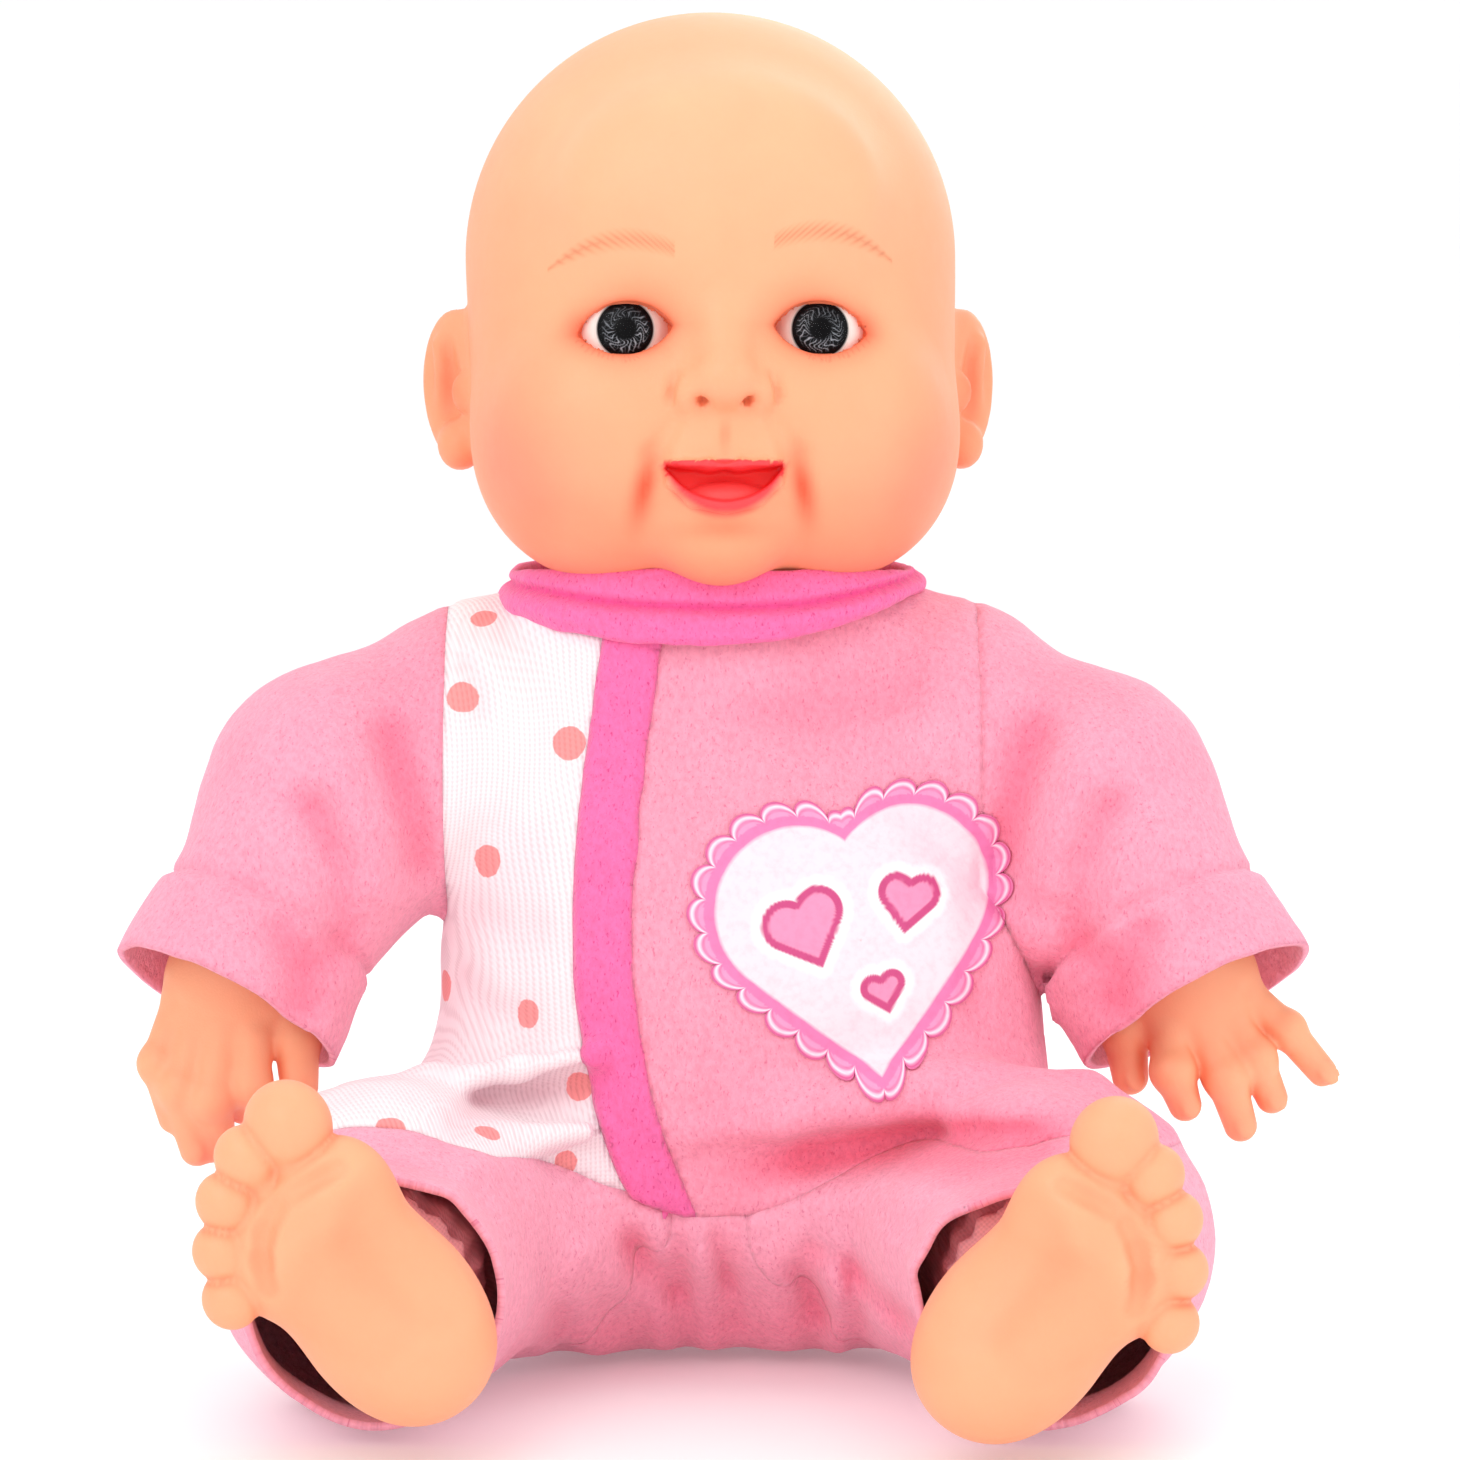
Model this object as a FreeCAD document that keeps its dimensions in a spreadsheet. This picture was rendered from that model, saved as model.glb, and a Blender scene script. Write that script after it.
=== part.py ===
"""Interactive baby doll, seated: a soft stuffed body with a vinyl head, hands and feet.

It wears a romper and holds a round press-to-talk sound module in its chest.
Row frame: +Z up, the doll faces -Y and its own left side is +X. The origin is on the floor,
under the hip axis, in the middle of the flat patch that the doll sits on. Millimetres.
"""

import FreeCAD, Part
import os
import Sketcher
from FreeCAD import Placement, Rotation, Vector

doc = FreeCAD.newDocument("BabyDoll")
Z_AXIS = Vector(0, 0, 1)
EVERYWHERE = 400.0  # side of the boxes that stand for half-spaces
PARTS = {}  # node name to document object


# ---------------------------------------------------------------- driving dimensions

SIZES = {
    # torso, as a stack of elliptical sections: height, half width, half depth, shift back
    "hip_height": 28.5, "hip_wide": 38.0, "hip_deep": 24.0, "hip_back": 0.0,
    "waist_height": 50.0, "waist_wide": 38.0, "waist_deep": 21.5, "waist_back": 1.0,
    "belly_height": 68.0, "belly_wide": 40.0, "belly_deep": 31.5, "belly_back": -4.0,
    "chest_height": 94.0, "chest_wide": 38.0, "chest_deep": 28.0, "chest_back": -1.0,
    "shoulder_height": 112.0, "shoulder_wide": 36.0, "shoulder_deep": 22.0, "shoulder_back": 2.0,
    "neck_height": 122.0, "neck_wide": 28.0, "neck_deep": 20.0, "neck_back": 3.0,
    "cover_thick": 0.8,
    # the barrel that the doll sits on, round the hip axis
    "barrel_radius": 27.7, "barrel_half": 41.0,
    "seat_radius": 30.0, "seat_half": 43.5, "seat_clearance": 0.4, "seat_ease": 2.6,
    # romper
    "cloth_thick": 1.5, "ease": 3.0, "hem_height": 60.5, "hem_wide": 39.5, "hem_deep": 29.0,
    "hem_back": -3.0, "top_height": 141.0, "top_wide": 31.0, "top_deep": 24.0, "top_back": 2.0,
    "neckline_height": 130.5, "neckline_tilt": 9.0,
    "placket_left": -19.0, "placket_right": -8.5, "placket_thick": 1.2,
    "collar_low_wide": 36.5, "collar_low_deep": 28.5, "collar_top_wide": 37.0,
    "collar_top_deep": 29.0, "collar_height": 8.0, "collar_thick": 2.2,
    "closure_wide": 14.0, "closure_thick": 0.8,
    "print_thick": 0.3, "print_x": 25.5, "print_height": 75.0, "print_size": 44.0,
    # neck fixing
    "neck_y": 4.0, "neck_radius": 14.0, "neck_bore": 11.5, "neck_bottom": 118.0,
    "neck_top": 143.0, "flange_radius": 16.5, "flange_thick": 2.5, "neck_clearance": 0.3,
    "casing_thick": 1.0, "casing_height": 4.5, "tie_thick": 1.6, "tie_height": 2.6,
    # head, in its own frame: centre of the skull, face towards -Y
    "head_height": 187.0, "head_pitch": 7.0, "head_yaw": 3.0, "head_wall": 2.6,
    "skull_radius": 43.3, "skull_back": 6.5, "skull_up": 6.6, "brow_y": -1.0,
    "cheek_radius": 27.5, "cheek_x": 14.0, "cheek_y": -10.0, "cheek_up": -20.0,
    "chin_radius": 22.0, "chin_y": -15.0, "chin_up": -30.5,
    "nose_radius": 6.2, "nose_y": -38.0, "nose_up": -18.5,
    "ear_x": 43.2, "ear_y": 7.0, "ear_up": -15.0, "ear_radius": 6.2, "ear_half": 7.5,
    "eye_radius": 9.5, "eye_x": 16.6, "eye_y": -28.3, "eye_up": -9.0,
    "lid_wide": 7.6, "lid_tall": 4.7,
    "iris_radius": 4.8, "iris_thick": 0.6, "iris_depth": 8.0, "eye_gap": 0.1,
    # arms: sleeve and cloth arm follow the same three points
    "shoulder_x": 36.0, "shoulder_y": 2.0, "shoulder_z": 110.0, "elbow_x": 66.0,
    "elbow_y": -5.0, "elbow_z": 99.0, "cuff_x": 84.5, "cuff_y": -20.0, "cuff_z": 64.5,
    "armhole_x": 43.9, "sleeve_root": 23.0, "sleeve_elbow": 20.5, "sleeve_cuff": 19.0,
    "arm_root": 17.0, "arm_elbow": 15.0, "arm_end": 12.5, "arm_short": 17.0,
    "wrist_flange": 11.4, "wrist_neck": 9.2, "wrist_radius": 10.2, "wrist_length": 15.0,
    # legs: trouser leg and cloth leg follow the same three points
    "thigh_x": 29.0, "thigh_y": 0.0, "thigh_z": 28.5, "knee_x": 56.5, "knee_y": -49.0,
    "knee_z": 26.4, "ankle_x": 54.5, "ankle_y": -84.0, "ankle_z": 24.0, "trouser_root": 24.5,
    "trouser_knee": 26.0, "trouser_cuff": 23.5, "leg_raise": 5.0, "leg_root": 20.0, "leg_knee": 20.5,
    "leg_end": 16.0, "leg_short": 13.0, "ankle_flange": 14.9, "ankle_neck": 12.4,
    "ankle_radius": 13.4, "ankle_length": 19.0,
    # how a vinyl limb is tied into its cloth limb
    "limb_flange_thick": 2.0, "limb_groove": 4.0, "limb_gap": 0.3, "limb_tie_high": 1.4,
    "limb_tie_wide": 2.0,
    # foot and hand
    "foot_roll": 35.0, "heel_radius": 12.5, "ball_wide": 16.2, "instep_wide": 12.0,
    "instep_long": 20.0, "ball_thick": 9.0, "foot_wall": 2.4, "palm_wide": 11.5,
    "palm_thick": 10.0, "finger_radius": 3.3, "thumb_radius": 3.7, "hand_sunk": 5.0,
    # sound module, in its own frame: +Z out of its front face
    "module_x": 8.0, "module_y": 8.5, "module_z": 80.0, "case_radius": 26.0, "case_wall": 1.6,
    "case_depth": 20.0, "case_split": 12.0, "button_radius": 11.6, "button_hole": 12.0,
    "button_flange": 13.6, "button_proud": 2.0, "board_radius": 18.0,
    "board_thick": 1.0, "board_height": 13.4, "cell_radius": 5.8, "cell_length": 5.4,
    "bay_long": 18.4, "bay_wide": 12.4, "bay_deep": 13.3, "bay_wall": 1.1, "bay_y": 12.0,
    "bay_floor": 1.6,
    "speaker_radius": 10.0, "speaker_y": -7.0, "speaker_deep": 4.0, "boss_ring": 21.0,
    "boss_radius": 2.6, "screw_radius": 1.1, "screw_head": 2.1, "door_long": 24.0,
    "door_wide": 15.5, "door_thick": 1.4, "knob_x": -15.0, "knob_y": -5.0, "pouch_gap": 0.3,
    "pouch_thick": 0.6, "flap_wide": 40.0, "flap_tall": 44.0,
}


def make_sheet():
    """Puts every driving dimension in a spreadsheet cell with its own alias."""
    made = doc.addObject("Spreadsheet::Sheet", "Sizes")
    for row, (alias, value) in enumerate(SIZES.items(), start=1):
        made.set(f"A{row}", alias.replace("_", " "))
        made.set(f"B{row}", str(value))
        made.setAlias(f"B{row}", alias)
    doc.recompute()
    return made


sheet = make_sheet()


def cell(alias):
    """The value of a cell, for the places that no expression can drive."""
    return float(sheet.get(alias))


def value(expression):
    """The value of an expression over the sheet."""
    return float(sheet.evalExpression(expression.replace("Sizes.", "")))


# ---------------------------------------------------------------- solids and booleans


def link(obj, **expressions):
    """Binds properties of an object to expressions over the sheet."""
    for name, expression in expressions.items():
        obj.setExpression(name.replace("__", "."), expression)
    return obj


def primitive(kind, name, place=None, **expressions):
    """A Part primitive whose sizes follow the sheet."""
    made = doc.addObject("Part::" + kind, name)
    if place is not None:
        made.Placement = place
    return link(made, **expressions)


def spheroid(name, place, across, along):
    """An ellipse turned round its local Z axis, from the expressions of its two radii.

    The ellipsoid primitive is not kept whole by STEP, and a revolved spline is.
    """
    wide, high = value(across), value(along)
    origin = Vector(0, 0, 0)
    tip = Vector(0, 0, high)
    side = Vector(wide, 0, 0)
    if high > wide:
        ring = Part.Ellipse(tip, side, origin)
    else:
        ring = Part.Ellipse(side, tip, origin)
    bounds = sorted((ring.parameter(tip), ring.parameter(tip * -1)))
    half = Part.ArcOfEllipse(ring, *bounds).toBSpline().toShape()
    outline = Part.Wire([half, Part.makeLine(tip * -1, tip)])
    made = doc.addObject("Part::Feature", name)
    made.Shape = Part.Face(outline).revolve(origin, Z_AXIS, 360)
    made.Placement = place
    return made


def fuse(name, *shapes):
    made = doc.addObject("Part::MultiFuse", name)
    made.Shapes = list(shapes)
    return made


def common(name, *shapes):
    made = doc.addObject("Part::MultiCommon", name)
    made.Shapes = list(shapes)
    return made


def cut(name, base, *tools):
    """base less every tool."""
    made = doc.addObject("Part::Cut", name)
    made.Base = base
    made.Tool = tools[0] if len(tools) == 1 else fuse(name + "_tools", *tools)
    return made


def group(name, *shapes):
    """Separate solids that are one sub-part."""
    made = doc.addObject("Part::Compound", name)
    made.Links = list(shapes)
    return made


def copy_of(name, source):
    """A second use of an object's shape, to be placed elsewhere."""
    made = doc.addObject("Part::Feature", name)
    made.Shape = source.Shape
    return made


def mirrored(name, source):
    """The same shape on the doll's right side."""
    made = doc.addObject("Part::Mirroring", name)
    made.Source = source
    made.Base = Vector(0, 0, 0)
    made.Normal = Vector(1, 0, 0)
    return made


def part(node, obj):
    """Names a finished object as a sub-part."""
    obj.Label = node
    PARTS[node] = obj
    return obj


def both_sides(node, obj):
    """Registers the left sub-part and its mirror image."""
    part("left_" + node, obj)
    part("right_" + node, mirrored("right_" + node, obj))


def half_space(name, low, high):
    """A box from one corner to the other, for cutting."""
    size = high - low
    made = doc.addObject("Part::Box", name)
    made.Length, made.Width, made.Height = size.x, size.y, size.z
    made.Placement = Placement(low, Rotation())
    return made


def towards(direction):
    """The rotation that turns +Z to a direction."""
    return Rotation(Z_AXIS, direction)


def point(prefix):
    """A point whose coordinates are three cells."""
    return Vector(cell(prefix + "_x"), cell(prefix + "_y"), cell(prefix + "_z"))


# ---------------------------------------------------------------- torso shells

TORSO_ROWS = ["hip", "waist", "belly", "chest", "shoulder", "neck"]
BODICE_ROWS = ["hem", "belly", "chest", "shoulder", "top"]
SEAT_ROWS = ["hip", "waist", "hem"]


def stack(name, rows, grow):
    """A solid lofted through elliptical sections, each grown by an expression."""
    sections = []
    for row in rows:
        ring = doc.addObject("Part::Ellipse", f"{name}_{row}")
        link(
            ring,
            MajorRadius=f"Sizes.{row}_wide + ({grow})",
            MinorRadius=f"Sizes.{row}_deep + ({grow})",
            Placement__Base__y=f"Sizes.{row}_back",
            Placement__Base__z=f"Sizes.{row}_height",
        )
        sections.append(ring)
    made = doc.addObject("Part::Loft", name)
    made.Sections = sections
    made.Solid = True
    return made


def barrel(name, radius, half):
    """A cylinder along X round the hip axis."""
    return primitive(
        "Cylinder",
        name,
        Placement(Vector(0, 0, 0), Rotation(Vector(0, 1, 0), 90)),
        Radius=radius,
        Height=f"2 * ({half})",
        Placement__Base__x=f"-({half})",
        Placement__Base__z="Sizes.hip_height",
    )


def neck_cylinder(name, radius, low, high):
    """An upright cylinder on the neck's axis."""
    return primitive(
        "Cylinder",
        name,
        Radius=radius,
        Height=f"({high}) - ({low})",
        Placement__Base__y="Sizes.neck_y",
        Placement__Base__z=low,
    )


def module_cylinder(name, radius, low, high, x="0", y="0"):
    """A cylinder along the sound module's axis, between two heights in its own frame."""
    return primitive(
        "Cylinder",
        name,
        Placement(Vector(0, 0, 0), Rotation(Vector(1, 0, 0), 90)),
        Radius=radius,
        Height=f"({high}) - ({low})",
        Placement__Base__x=f"Sizes.module_x + ({x})",
        Placement__Base__y=f"Sizes.module_y - ({low})",
        Placement__Base__z=f"Sizes.module_z + ({y})",
    )


def make_torso():
    """Stuffing, cloth cover, access flap, pouch, neck casing and tie."""
    outer = fuse(
        "torso_outer",
        stack("torso_outer_stack", TORSO_ROWS, "0"),
        barrel("torso_outer_barrel", "Sizes.barrel_radius", "Sizes.barrel_half"),
    )
    inner = fuse(
        "torso_inner",
        stack("torso_inner_stack", TORSO_ROWS, "-Sizes.cover_thick"),
        barrel(
            "torso_inner_barrel",
            "Sizes.barrel_radius - Sizes.cover_thick",
            "Sizes.barrel_half - Sizes.cover_thick",
        ),
    )
    lid = half_space(
        "torso_lid",
        Vector(-EVERYWHERE, -EVERYWHERE, cell("neck_height") - cell("cover_thick")),
        Vector(EVERYWHERE, EVERYWHERE, EVERYWHERE),
    )
    filling = cut("torso_filling", inner, lid)
    recess = neck_cylinder(
        "neck_recess",
        "Sizes.flange_radius + 0.5",
        "Sizes.neck_bottom - 0.5",
        "Sizes.neck_height",
    )
    chamber = module_cylinder(
        "sound_chamber",
        "Sizes.case_radius + Sizes.pouch_gap + Sizes.pouch_thick",
        "-45",
        "Sizes.case_depth + Sizes.button_proud + 1.5 + Sizes.pouch_thick",
    )
    part("torso_stuffing", cut("torso_stuffing", filling, recess, chamber))

    pouch_out = module_cylinder(
        "pouch_out",
        "Sizes.case_radius + Sizes.pouch_gap + Sizes.pouch_thick",
        "-4",
        "Sizes.case_depth + Sizes.button_proud + 1.5 + Sizes.pouch_thick",
    )
    pouch_in = module_cylinder(
        "pouch_in",
        "Sizes.case_radius + Sizes.pouch_gap",
        "-5",
        "Sizes.case_depth + Sizes.button_proud + 1.5",
    )
    pouch = cut("pouch_wall", pouch_out, pouch_in)
    part("sound_pouch", common("sound_pouch", pouch, filling))

    neck_hole = neck_cylinder(
        "neck_hole",
        "Sizes.neck_radius + Sizes.neck_clearance",
        "Sizes.neck_height - 4",
        "Sizes.neck_height + 4",
    )
    skin = cut("torso_skin", outer, filling, neck_hole)
    opening = primitive(
        "Box",
        "flap_opening",
        Length="Sizes.flap_wide",
        Width="60",
        Height="Sizes.flap_tall",
        Placement__Base__x="Sizes.module_x - Sizes.flap_wide / 2",
        Placement__Base__y="Sizes.module_y",
        Placement__Base__z="Sizes.module_z - Sizes.flap_tall / 2",
    )
    part("torso_cover", cut("torso_cover", skin, opening))
    part("access_flap", common("access_flap", skin, opening))

    casing_low = "Sizes.neck_height"
    casing_top = "Sizes.neck_height + Sizes.casing_height"
    bore = "Sizes.neck_radius + Sizes.neck_clearance"
    casing = neck_cylinder("casing_out", f"{bore} + Sizes.casing_thick", casing_low, casing_top)
    hollow = neck_cylinder("casing_in", bore, f"{casing_low} - 1", f"{casing_top} + 1")
    part("neck_casing", cut("neck_casing", casing, hollow))

    tie_low = "Sizes.neck_height + 1"
    tie_top = f"{tie_low} + Sizes.tie_height"
    tie_bore = f"{bore} + Sizes.casing_thick"
    ring = neck_cylinder("tie_out", f"{tie_bore} + Sizes.tie_thick", tie_low, tie_top)
    buckle = primitive(
        "Box",
        "tie_buckle",
        Length="4.6",
        Width="4.2",
        Height="3.6",
        Placement__Base__x="-2.3",
        Placement__Base__y=f"Sizes.neck_y - {tie_bore} - 4.7",
        Placement__Base__z=tie_low,
    )
    ring_hole = neck_cylinder("tie_in", tie_bore, f"{tie_low} - 1", f"{tie_top} + 2")
    part("neck_tie", cut("neck_tie", fuse("tie_ring", ring, buckle), ring_hole))


def heart_prism():
    """A heart outline extruded through the chest, point down, for the printed patch."""
    size = cell("print_size")
    lobe = size * 0.27
    shoulder = size * 0.20
    tip = Vector(0, 0, -size * 0.52)
    notch = Vector(0, 0, size * 0.22)
    far = Vector(size * 0.5, 0, shoulder * 0.6)
    top = Vector(size * 0.25, 0, shoulder + lobe)
    near = Vector(-far.x, 0, far.z)
    near_top = Vector(-top.x, 0, top.z)
    side = Vector(size * 0.33, 0, -size * 0.22)
    near_side = Vector(-side.x, 0, side.z)
    wire = Part.Wire(
        [
            Part.Arc(tip, side, far).toShape(),
            Part.Arc(far, top, notch).toShape(),
            Part.Arc(notch, near_top, near).toShape(),
            Part.Arc(near, near_side, tip).toShape(),
        ]
    )
    made = doc.addObject("Part::Feature", "heart_prism")
    made.Shape = Part.Face(wire).extrude(Vector(0, -60, 0))
    made.Placement = Placement(
        Vector(cell("print_x"), 0, cell("print_height")), Rotation(Vector(0, 1, 0), -8)
    )
    return made


def make_romper_body():
    """Front and back panels, placket, collar, closure strips, seat and the heart print."""
    ease = "Sizes.ease"
    cloth = "Sizes.cloth_thick"
    outer = stack("bodice_outer", BODICE_ROWS, f"{ease} + {cloth} - 0.5")
    inner = stack("bodice_inner", BODICE_ROWS, f"{ease} - 0.5")
    above = half_space(
        "above_neckline",
        Vector(-EVERYWHERE, -EVERYWHERE, 0),
        Vector(EVERYWHERE, EVERYWHERE, EVERYWHERE),
    )
    above.Placement = neckline_place() * above.Placement
    shell = cut("bodice_shell", outer, inner, above)
    seam = (cell("placket_left") + cell("placket_right")) / 2
    far = EVERYWHERE
    quarters = {
        "bodice_right_front": (Vector(-far, -far, 0), Vector(seam, 0, far)),
        "bodice_left_front": (Vector(seam, -far, 0), Vector(far, 0, far)),
        "bodice_right_back": (Vector(-far, 0, 0), Vector(0, far, far)),
        "bodice_left_back": (Vector(0, 0, 0), Vector(far, far, far)),
    }
    for node, (low, high) in quarters.items():
        part(node, common(node, shell, half_space(node + "_side", low, high)))

    raised = stack(
        "placket_outer", BODICE_ROWS, f"{ease} + {cloth} + Sizes.placket_thick - 0.5"
    )
    band = half_space(
        "placket_band",
        Vector(cell("placket_left"), -far, 0),
        Vector(cell("placket_right"), 0, far),
    )
    part("placket", common("placket", cut("placket_shell", raised, outer, above), band))

    inked = stack("print_outer", BODICE_ROWS, f"{ease} + {cloth} + Sizes.print_thick - 0.5")
    part("heart_print", common("heart_print", cut("print_shell", inked, outer), heart_prism()))

    strip = primitive(
        "Box",
        "closure_band",
        Length="Sizes.closure_wide",
        Width="80",
        Height="Sizes.neckline_height - Sizes.hem_height - 6",
        Placement__Base__x="-Sizes.closure_wide / 2",
        Placement__Base__z="Sizes.hem_height + 3",
    )
    deeper = stack("closure_mid", BODICE_ROWS, f"{ease} - Sizes.closure_thick - 0.5")
    deepest = stack("closure_low", BODICE_ROWS, f"{ease} - 2 * Sizes.closure_thick - 0.5")
    loops = cut("loop_shell", inner, deeper)
    hooks = cut("hook_shell", deeper, deepest)
    part("closure_loop_strip", common("closure_loop_strip", loops, strip))
    part("closure_hook_strip", common("closure_hook_strip", hooks, strip))
    make_collar()
    make_seat()


def neckline_place():
    """The plane of the neck opening, lower at the front, with +Z out of it."""
    centre = Vector(0, cell("top_back"), cell("neckline_height"))
    return Placement(centre, Rotation(Vector(1, 0, 0), cell("neckline_tilt")))


def make_collar():
    """A standing band round the neck opening."""
    shells = []
    for name, less in (("collar_out", "0"), ("collar_in", "Sizes.collar_thick")):
        rings = []
        for level, lift in (("low", "0"), ("top", "Sizes.collar_height")):
            ring = doc.addObject("Part::Ellipse", f"{name}_{level}")
            ring.Placement = neckline_place() * Placement(Vector(0, 0, value(lift)), Rotation())
            link(
                ring,
                MajorRadius=f"Sizes.collar_{level}_wide - {less}",
                MinorRadius=f"Sizes.collar_{level}_deep - {less}",
            )
            rings.append(ring)
        wall = doc.addObject("Part::Loft", name)
        wall.Sections = rings
        wall.Solid = True
        shells.append(wall)
    part("collar", cut("collar", *shells))


def make_seat():
    """The romper's seat: a cloth barrel round the hips, flat where the doll sits."""
    outer = fuse(
        "seat_outer",
        stack("seat_outer_stack", SEAT_ROWS, "Sizes.seat_ease"),
        barrel("seat_outer_barrel", "Sizes.seat_radius", "Sizes.seat_half"),
    )
    filled = fuse(
        "seat_inner",
        stack("seat_inner_stack", SEAT_ROWS, "Sizes.seat_ease - Sizes.cloth_thick"),
        barrel(
            "seat_inner_barrel",
            "Sizes.barrel_radius + 0.2",
            "Sizes.seat_half - Sizes.cloth_thick",
        ),
    )
    body = PARTS["torso_cover"]
    under = half_space(
        "under_floor",
        Vector(-EVERYWHERE, -EVERYWHERE, -EVERYWHERE),
        Vector(EVERYWHERE, EVERYWHERE, 0),
    )
    part("seat_panel", cut("seat_panel", outer, filled, body, under))


# ---------------------------------------------------------------- limbs


def tube(name, points, radii, last=0.0):
    """A solid of cones and balls along a path. last lengthens its end, at the same radius."""
    pieces = []
    for i in range(len(points) - 1):
        start, end = points[i], points[i + 1]
        along = end - start
        pieces.append(
            primitive(
                "Cone",
                f"{name}_cone{i}",
                Placement(start, towards(along)),
                Radius1=radii[i],
                Radius2=radii[i + 1],
                Height=str(along.Length),
            )
        )
    for i in range(1, len(points) - 1):
        pieces.append(
            primitive("Sphere", f"{name}_ball{i}", Placement(points[i], Rotation()), Radius=radii[i])
        )
    if last:
        along = points[-1] - points[-2]
        pieces.append(
            primitive(
                "Cylinder",
                f"{name}_end",
                Placement(points[-1], towards(along)),
                Radius=radii[-1],
                Height=str(last),
            )
        )
    return fuse(name, *pieces)


def ring_on(name, place, outer, inner, low, high):
    """A ring on a local Z axis."""
    shells = []
    for suffix, radius, extra in (("out", outer, "0"), ("in", inner, "1")):
        shells.append(
            primitive(
                "Cylinder",
                f"{name}_{suffix}",
                place * Placement(Vector(0, 0, value(low) - float(extra)), Rotation()),
                Radius=radius,
                Height=f"({high}) - ({low}) + 2 * {extra}",
            )
        )
    return cut(name, *shells)


def disc_on(name, place, radius, low, high):
    """A round slab on a local Z axis."""
    return primitive(
        "Cylinder",
        name,
        place * Placement(Vector(0, 0, value(low)), Rotation()),
        Radius=radius,
        Height=f"({high}) - ({low})",
    )


def tied_end(name, place, kind, length):
    """The mouth of a cloth limb, its tie, and the flanged stub of the vinyl limb in it.

    place is on the end of the stuffing, with +Z down the limb.
    """
    thick, gap = "Sizes.cover_thick", "Sizes.limb_gap"
    flange = f"Sizes.{kind}_flange"
    neck = f"Sizes.{kind}_neck"
    rim = f"{gap} + Sizes.limb_flange_thick"
    lip = f"{rim} + {gap} + {thick}"
    groove = f"{rim} + Sizes.limb_groove"
    mouth = fuse(
        name + "_mouth",
        ring_on(name + "_sock", place, f"{flange} + {gap} + {thick}", f"{flange} + {gap}", "0", lip),
        ring_on(
            name + "_lip", place, f"{flange} + {gap} + {thick}", f"{neck} + {gap}",
            f"{rim} + {gap}", lip,
        ),
        ring_on(
            name + "_gather", place, f"{neck} + {gap} + {thick}", f"{neck} + {gap}",
            lip, f"{groove} - {gap}",
        ),
    )
    tie_bore = f"{neck} + {gap} + {thick}"
    tie_low = f"{lip} + 0.1"
    band = ring_on(
        name + "_tie_ring", place, f"{tie_bore} + Sizes.limb_tie_high", tie_bore,
        tie_low, f"{tie_low} + Sizes.limb_tie_wide",
    )
    buckle = primitive(
        "Box",
        name + "_buckle",
        place
        * Placement(
            Vector(-1.6, value(tie_bore) + value("Sizes.limb_tie_high") - 0.6, value(tie_low)),
            Rotation(),
        ),
        Length="3.2",
        Width="2.4",
        Height="Sizes.limb_tie_wide",
    )
    stub = fuse(
        name + "_stub",
        disc_on(name + "_flange", place, flange, gap, rim),
        disc_on(name + "_neck", place, neck, rim, groove),
        disc_on(name + "_root", place, f"Sizes.{kind}_radius", groove, f"{groove} + {length}"),
    )
    return mouth, fuse(name + "_tie", band, buckle), stub


def ball_chain(name, points, radius):
    """A finger: rods between points with a ball at each."""
    pieces = []
    for i, (start, end) in enumerate(zip(points, points[1:])):
        along = end - start
        pieces.append(
            primitive(
                "Cylinder",
                f"{name}_rod{i}",
                Placement(start, towards(along)),
                Radius=radius,
                Height=str(along.Length),
            )
        )
    for i, at in enumerate(points[1:]):
        pieces.append(
            primitive("Sphere", f"{name}_ball{i}", Placement(at, Rotation()), Radius=radius)
        )
    return pieces


# Fingers in the hand's own frame: x across towards the thumb, y out of the back, z to the tips.
FINGERS = {
    "index": [(7.5, 0, 12), (9.5, 1.0, 23), (9.5, -3.0, 32)],
    "middle": [(2.6, 1, 14), (3.0, 1.5, 26), (2.5, -3.0, 36)],
    "ring": [(-2.8, 1, 13), (-3.6, 1.0, 24), (-4.0, -3.5, 33)],
    "little": [(-7.6, 0, 11), (-11.0, 0.5, 20), (-13.0, -2.0, 27)],
}
THUMB = [(6.0, -2, 0), (10.5, -5.0, 8), (11.5, -6.0, 15)]


def make_hand(place, stub):
    """Palm, four fingers and a thumb on a wrist stub."""

    def at(spot):
        return place.multVec(Vector(*spot))

    palm = primitive(
        "Cylinder",
        "palm",
        place * Placement(Vector(0, cell("palm_thick") / 2, 7), Rotation(Vector(1, 0, 0), 90)),
        Radius="Sizes.palm_wide",
        Height="Sizes.palm_thick",
    )
    pieces = [palm, stub]
    for name, spots in FINGERS.items():
        pieces += ball_chain(name, [at(s) for s in spots], "Sizes.finger_radius")
    pieces += ball_chain("thumb", [at(s) for s in THUMB], "Sizes.thumb_radius")
    return fuse("left_hand", *pieces)


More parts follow.
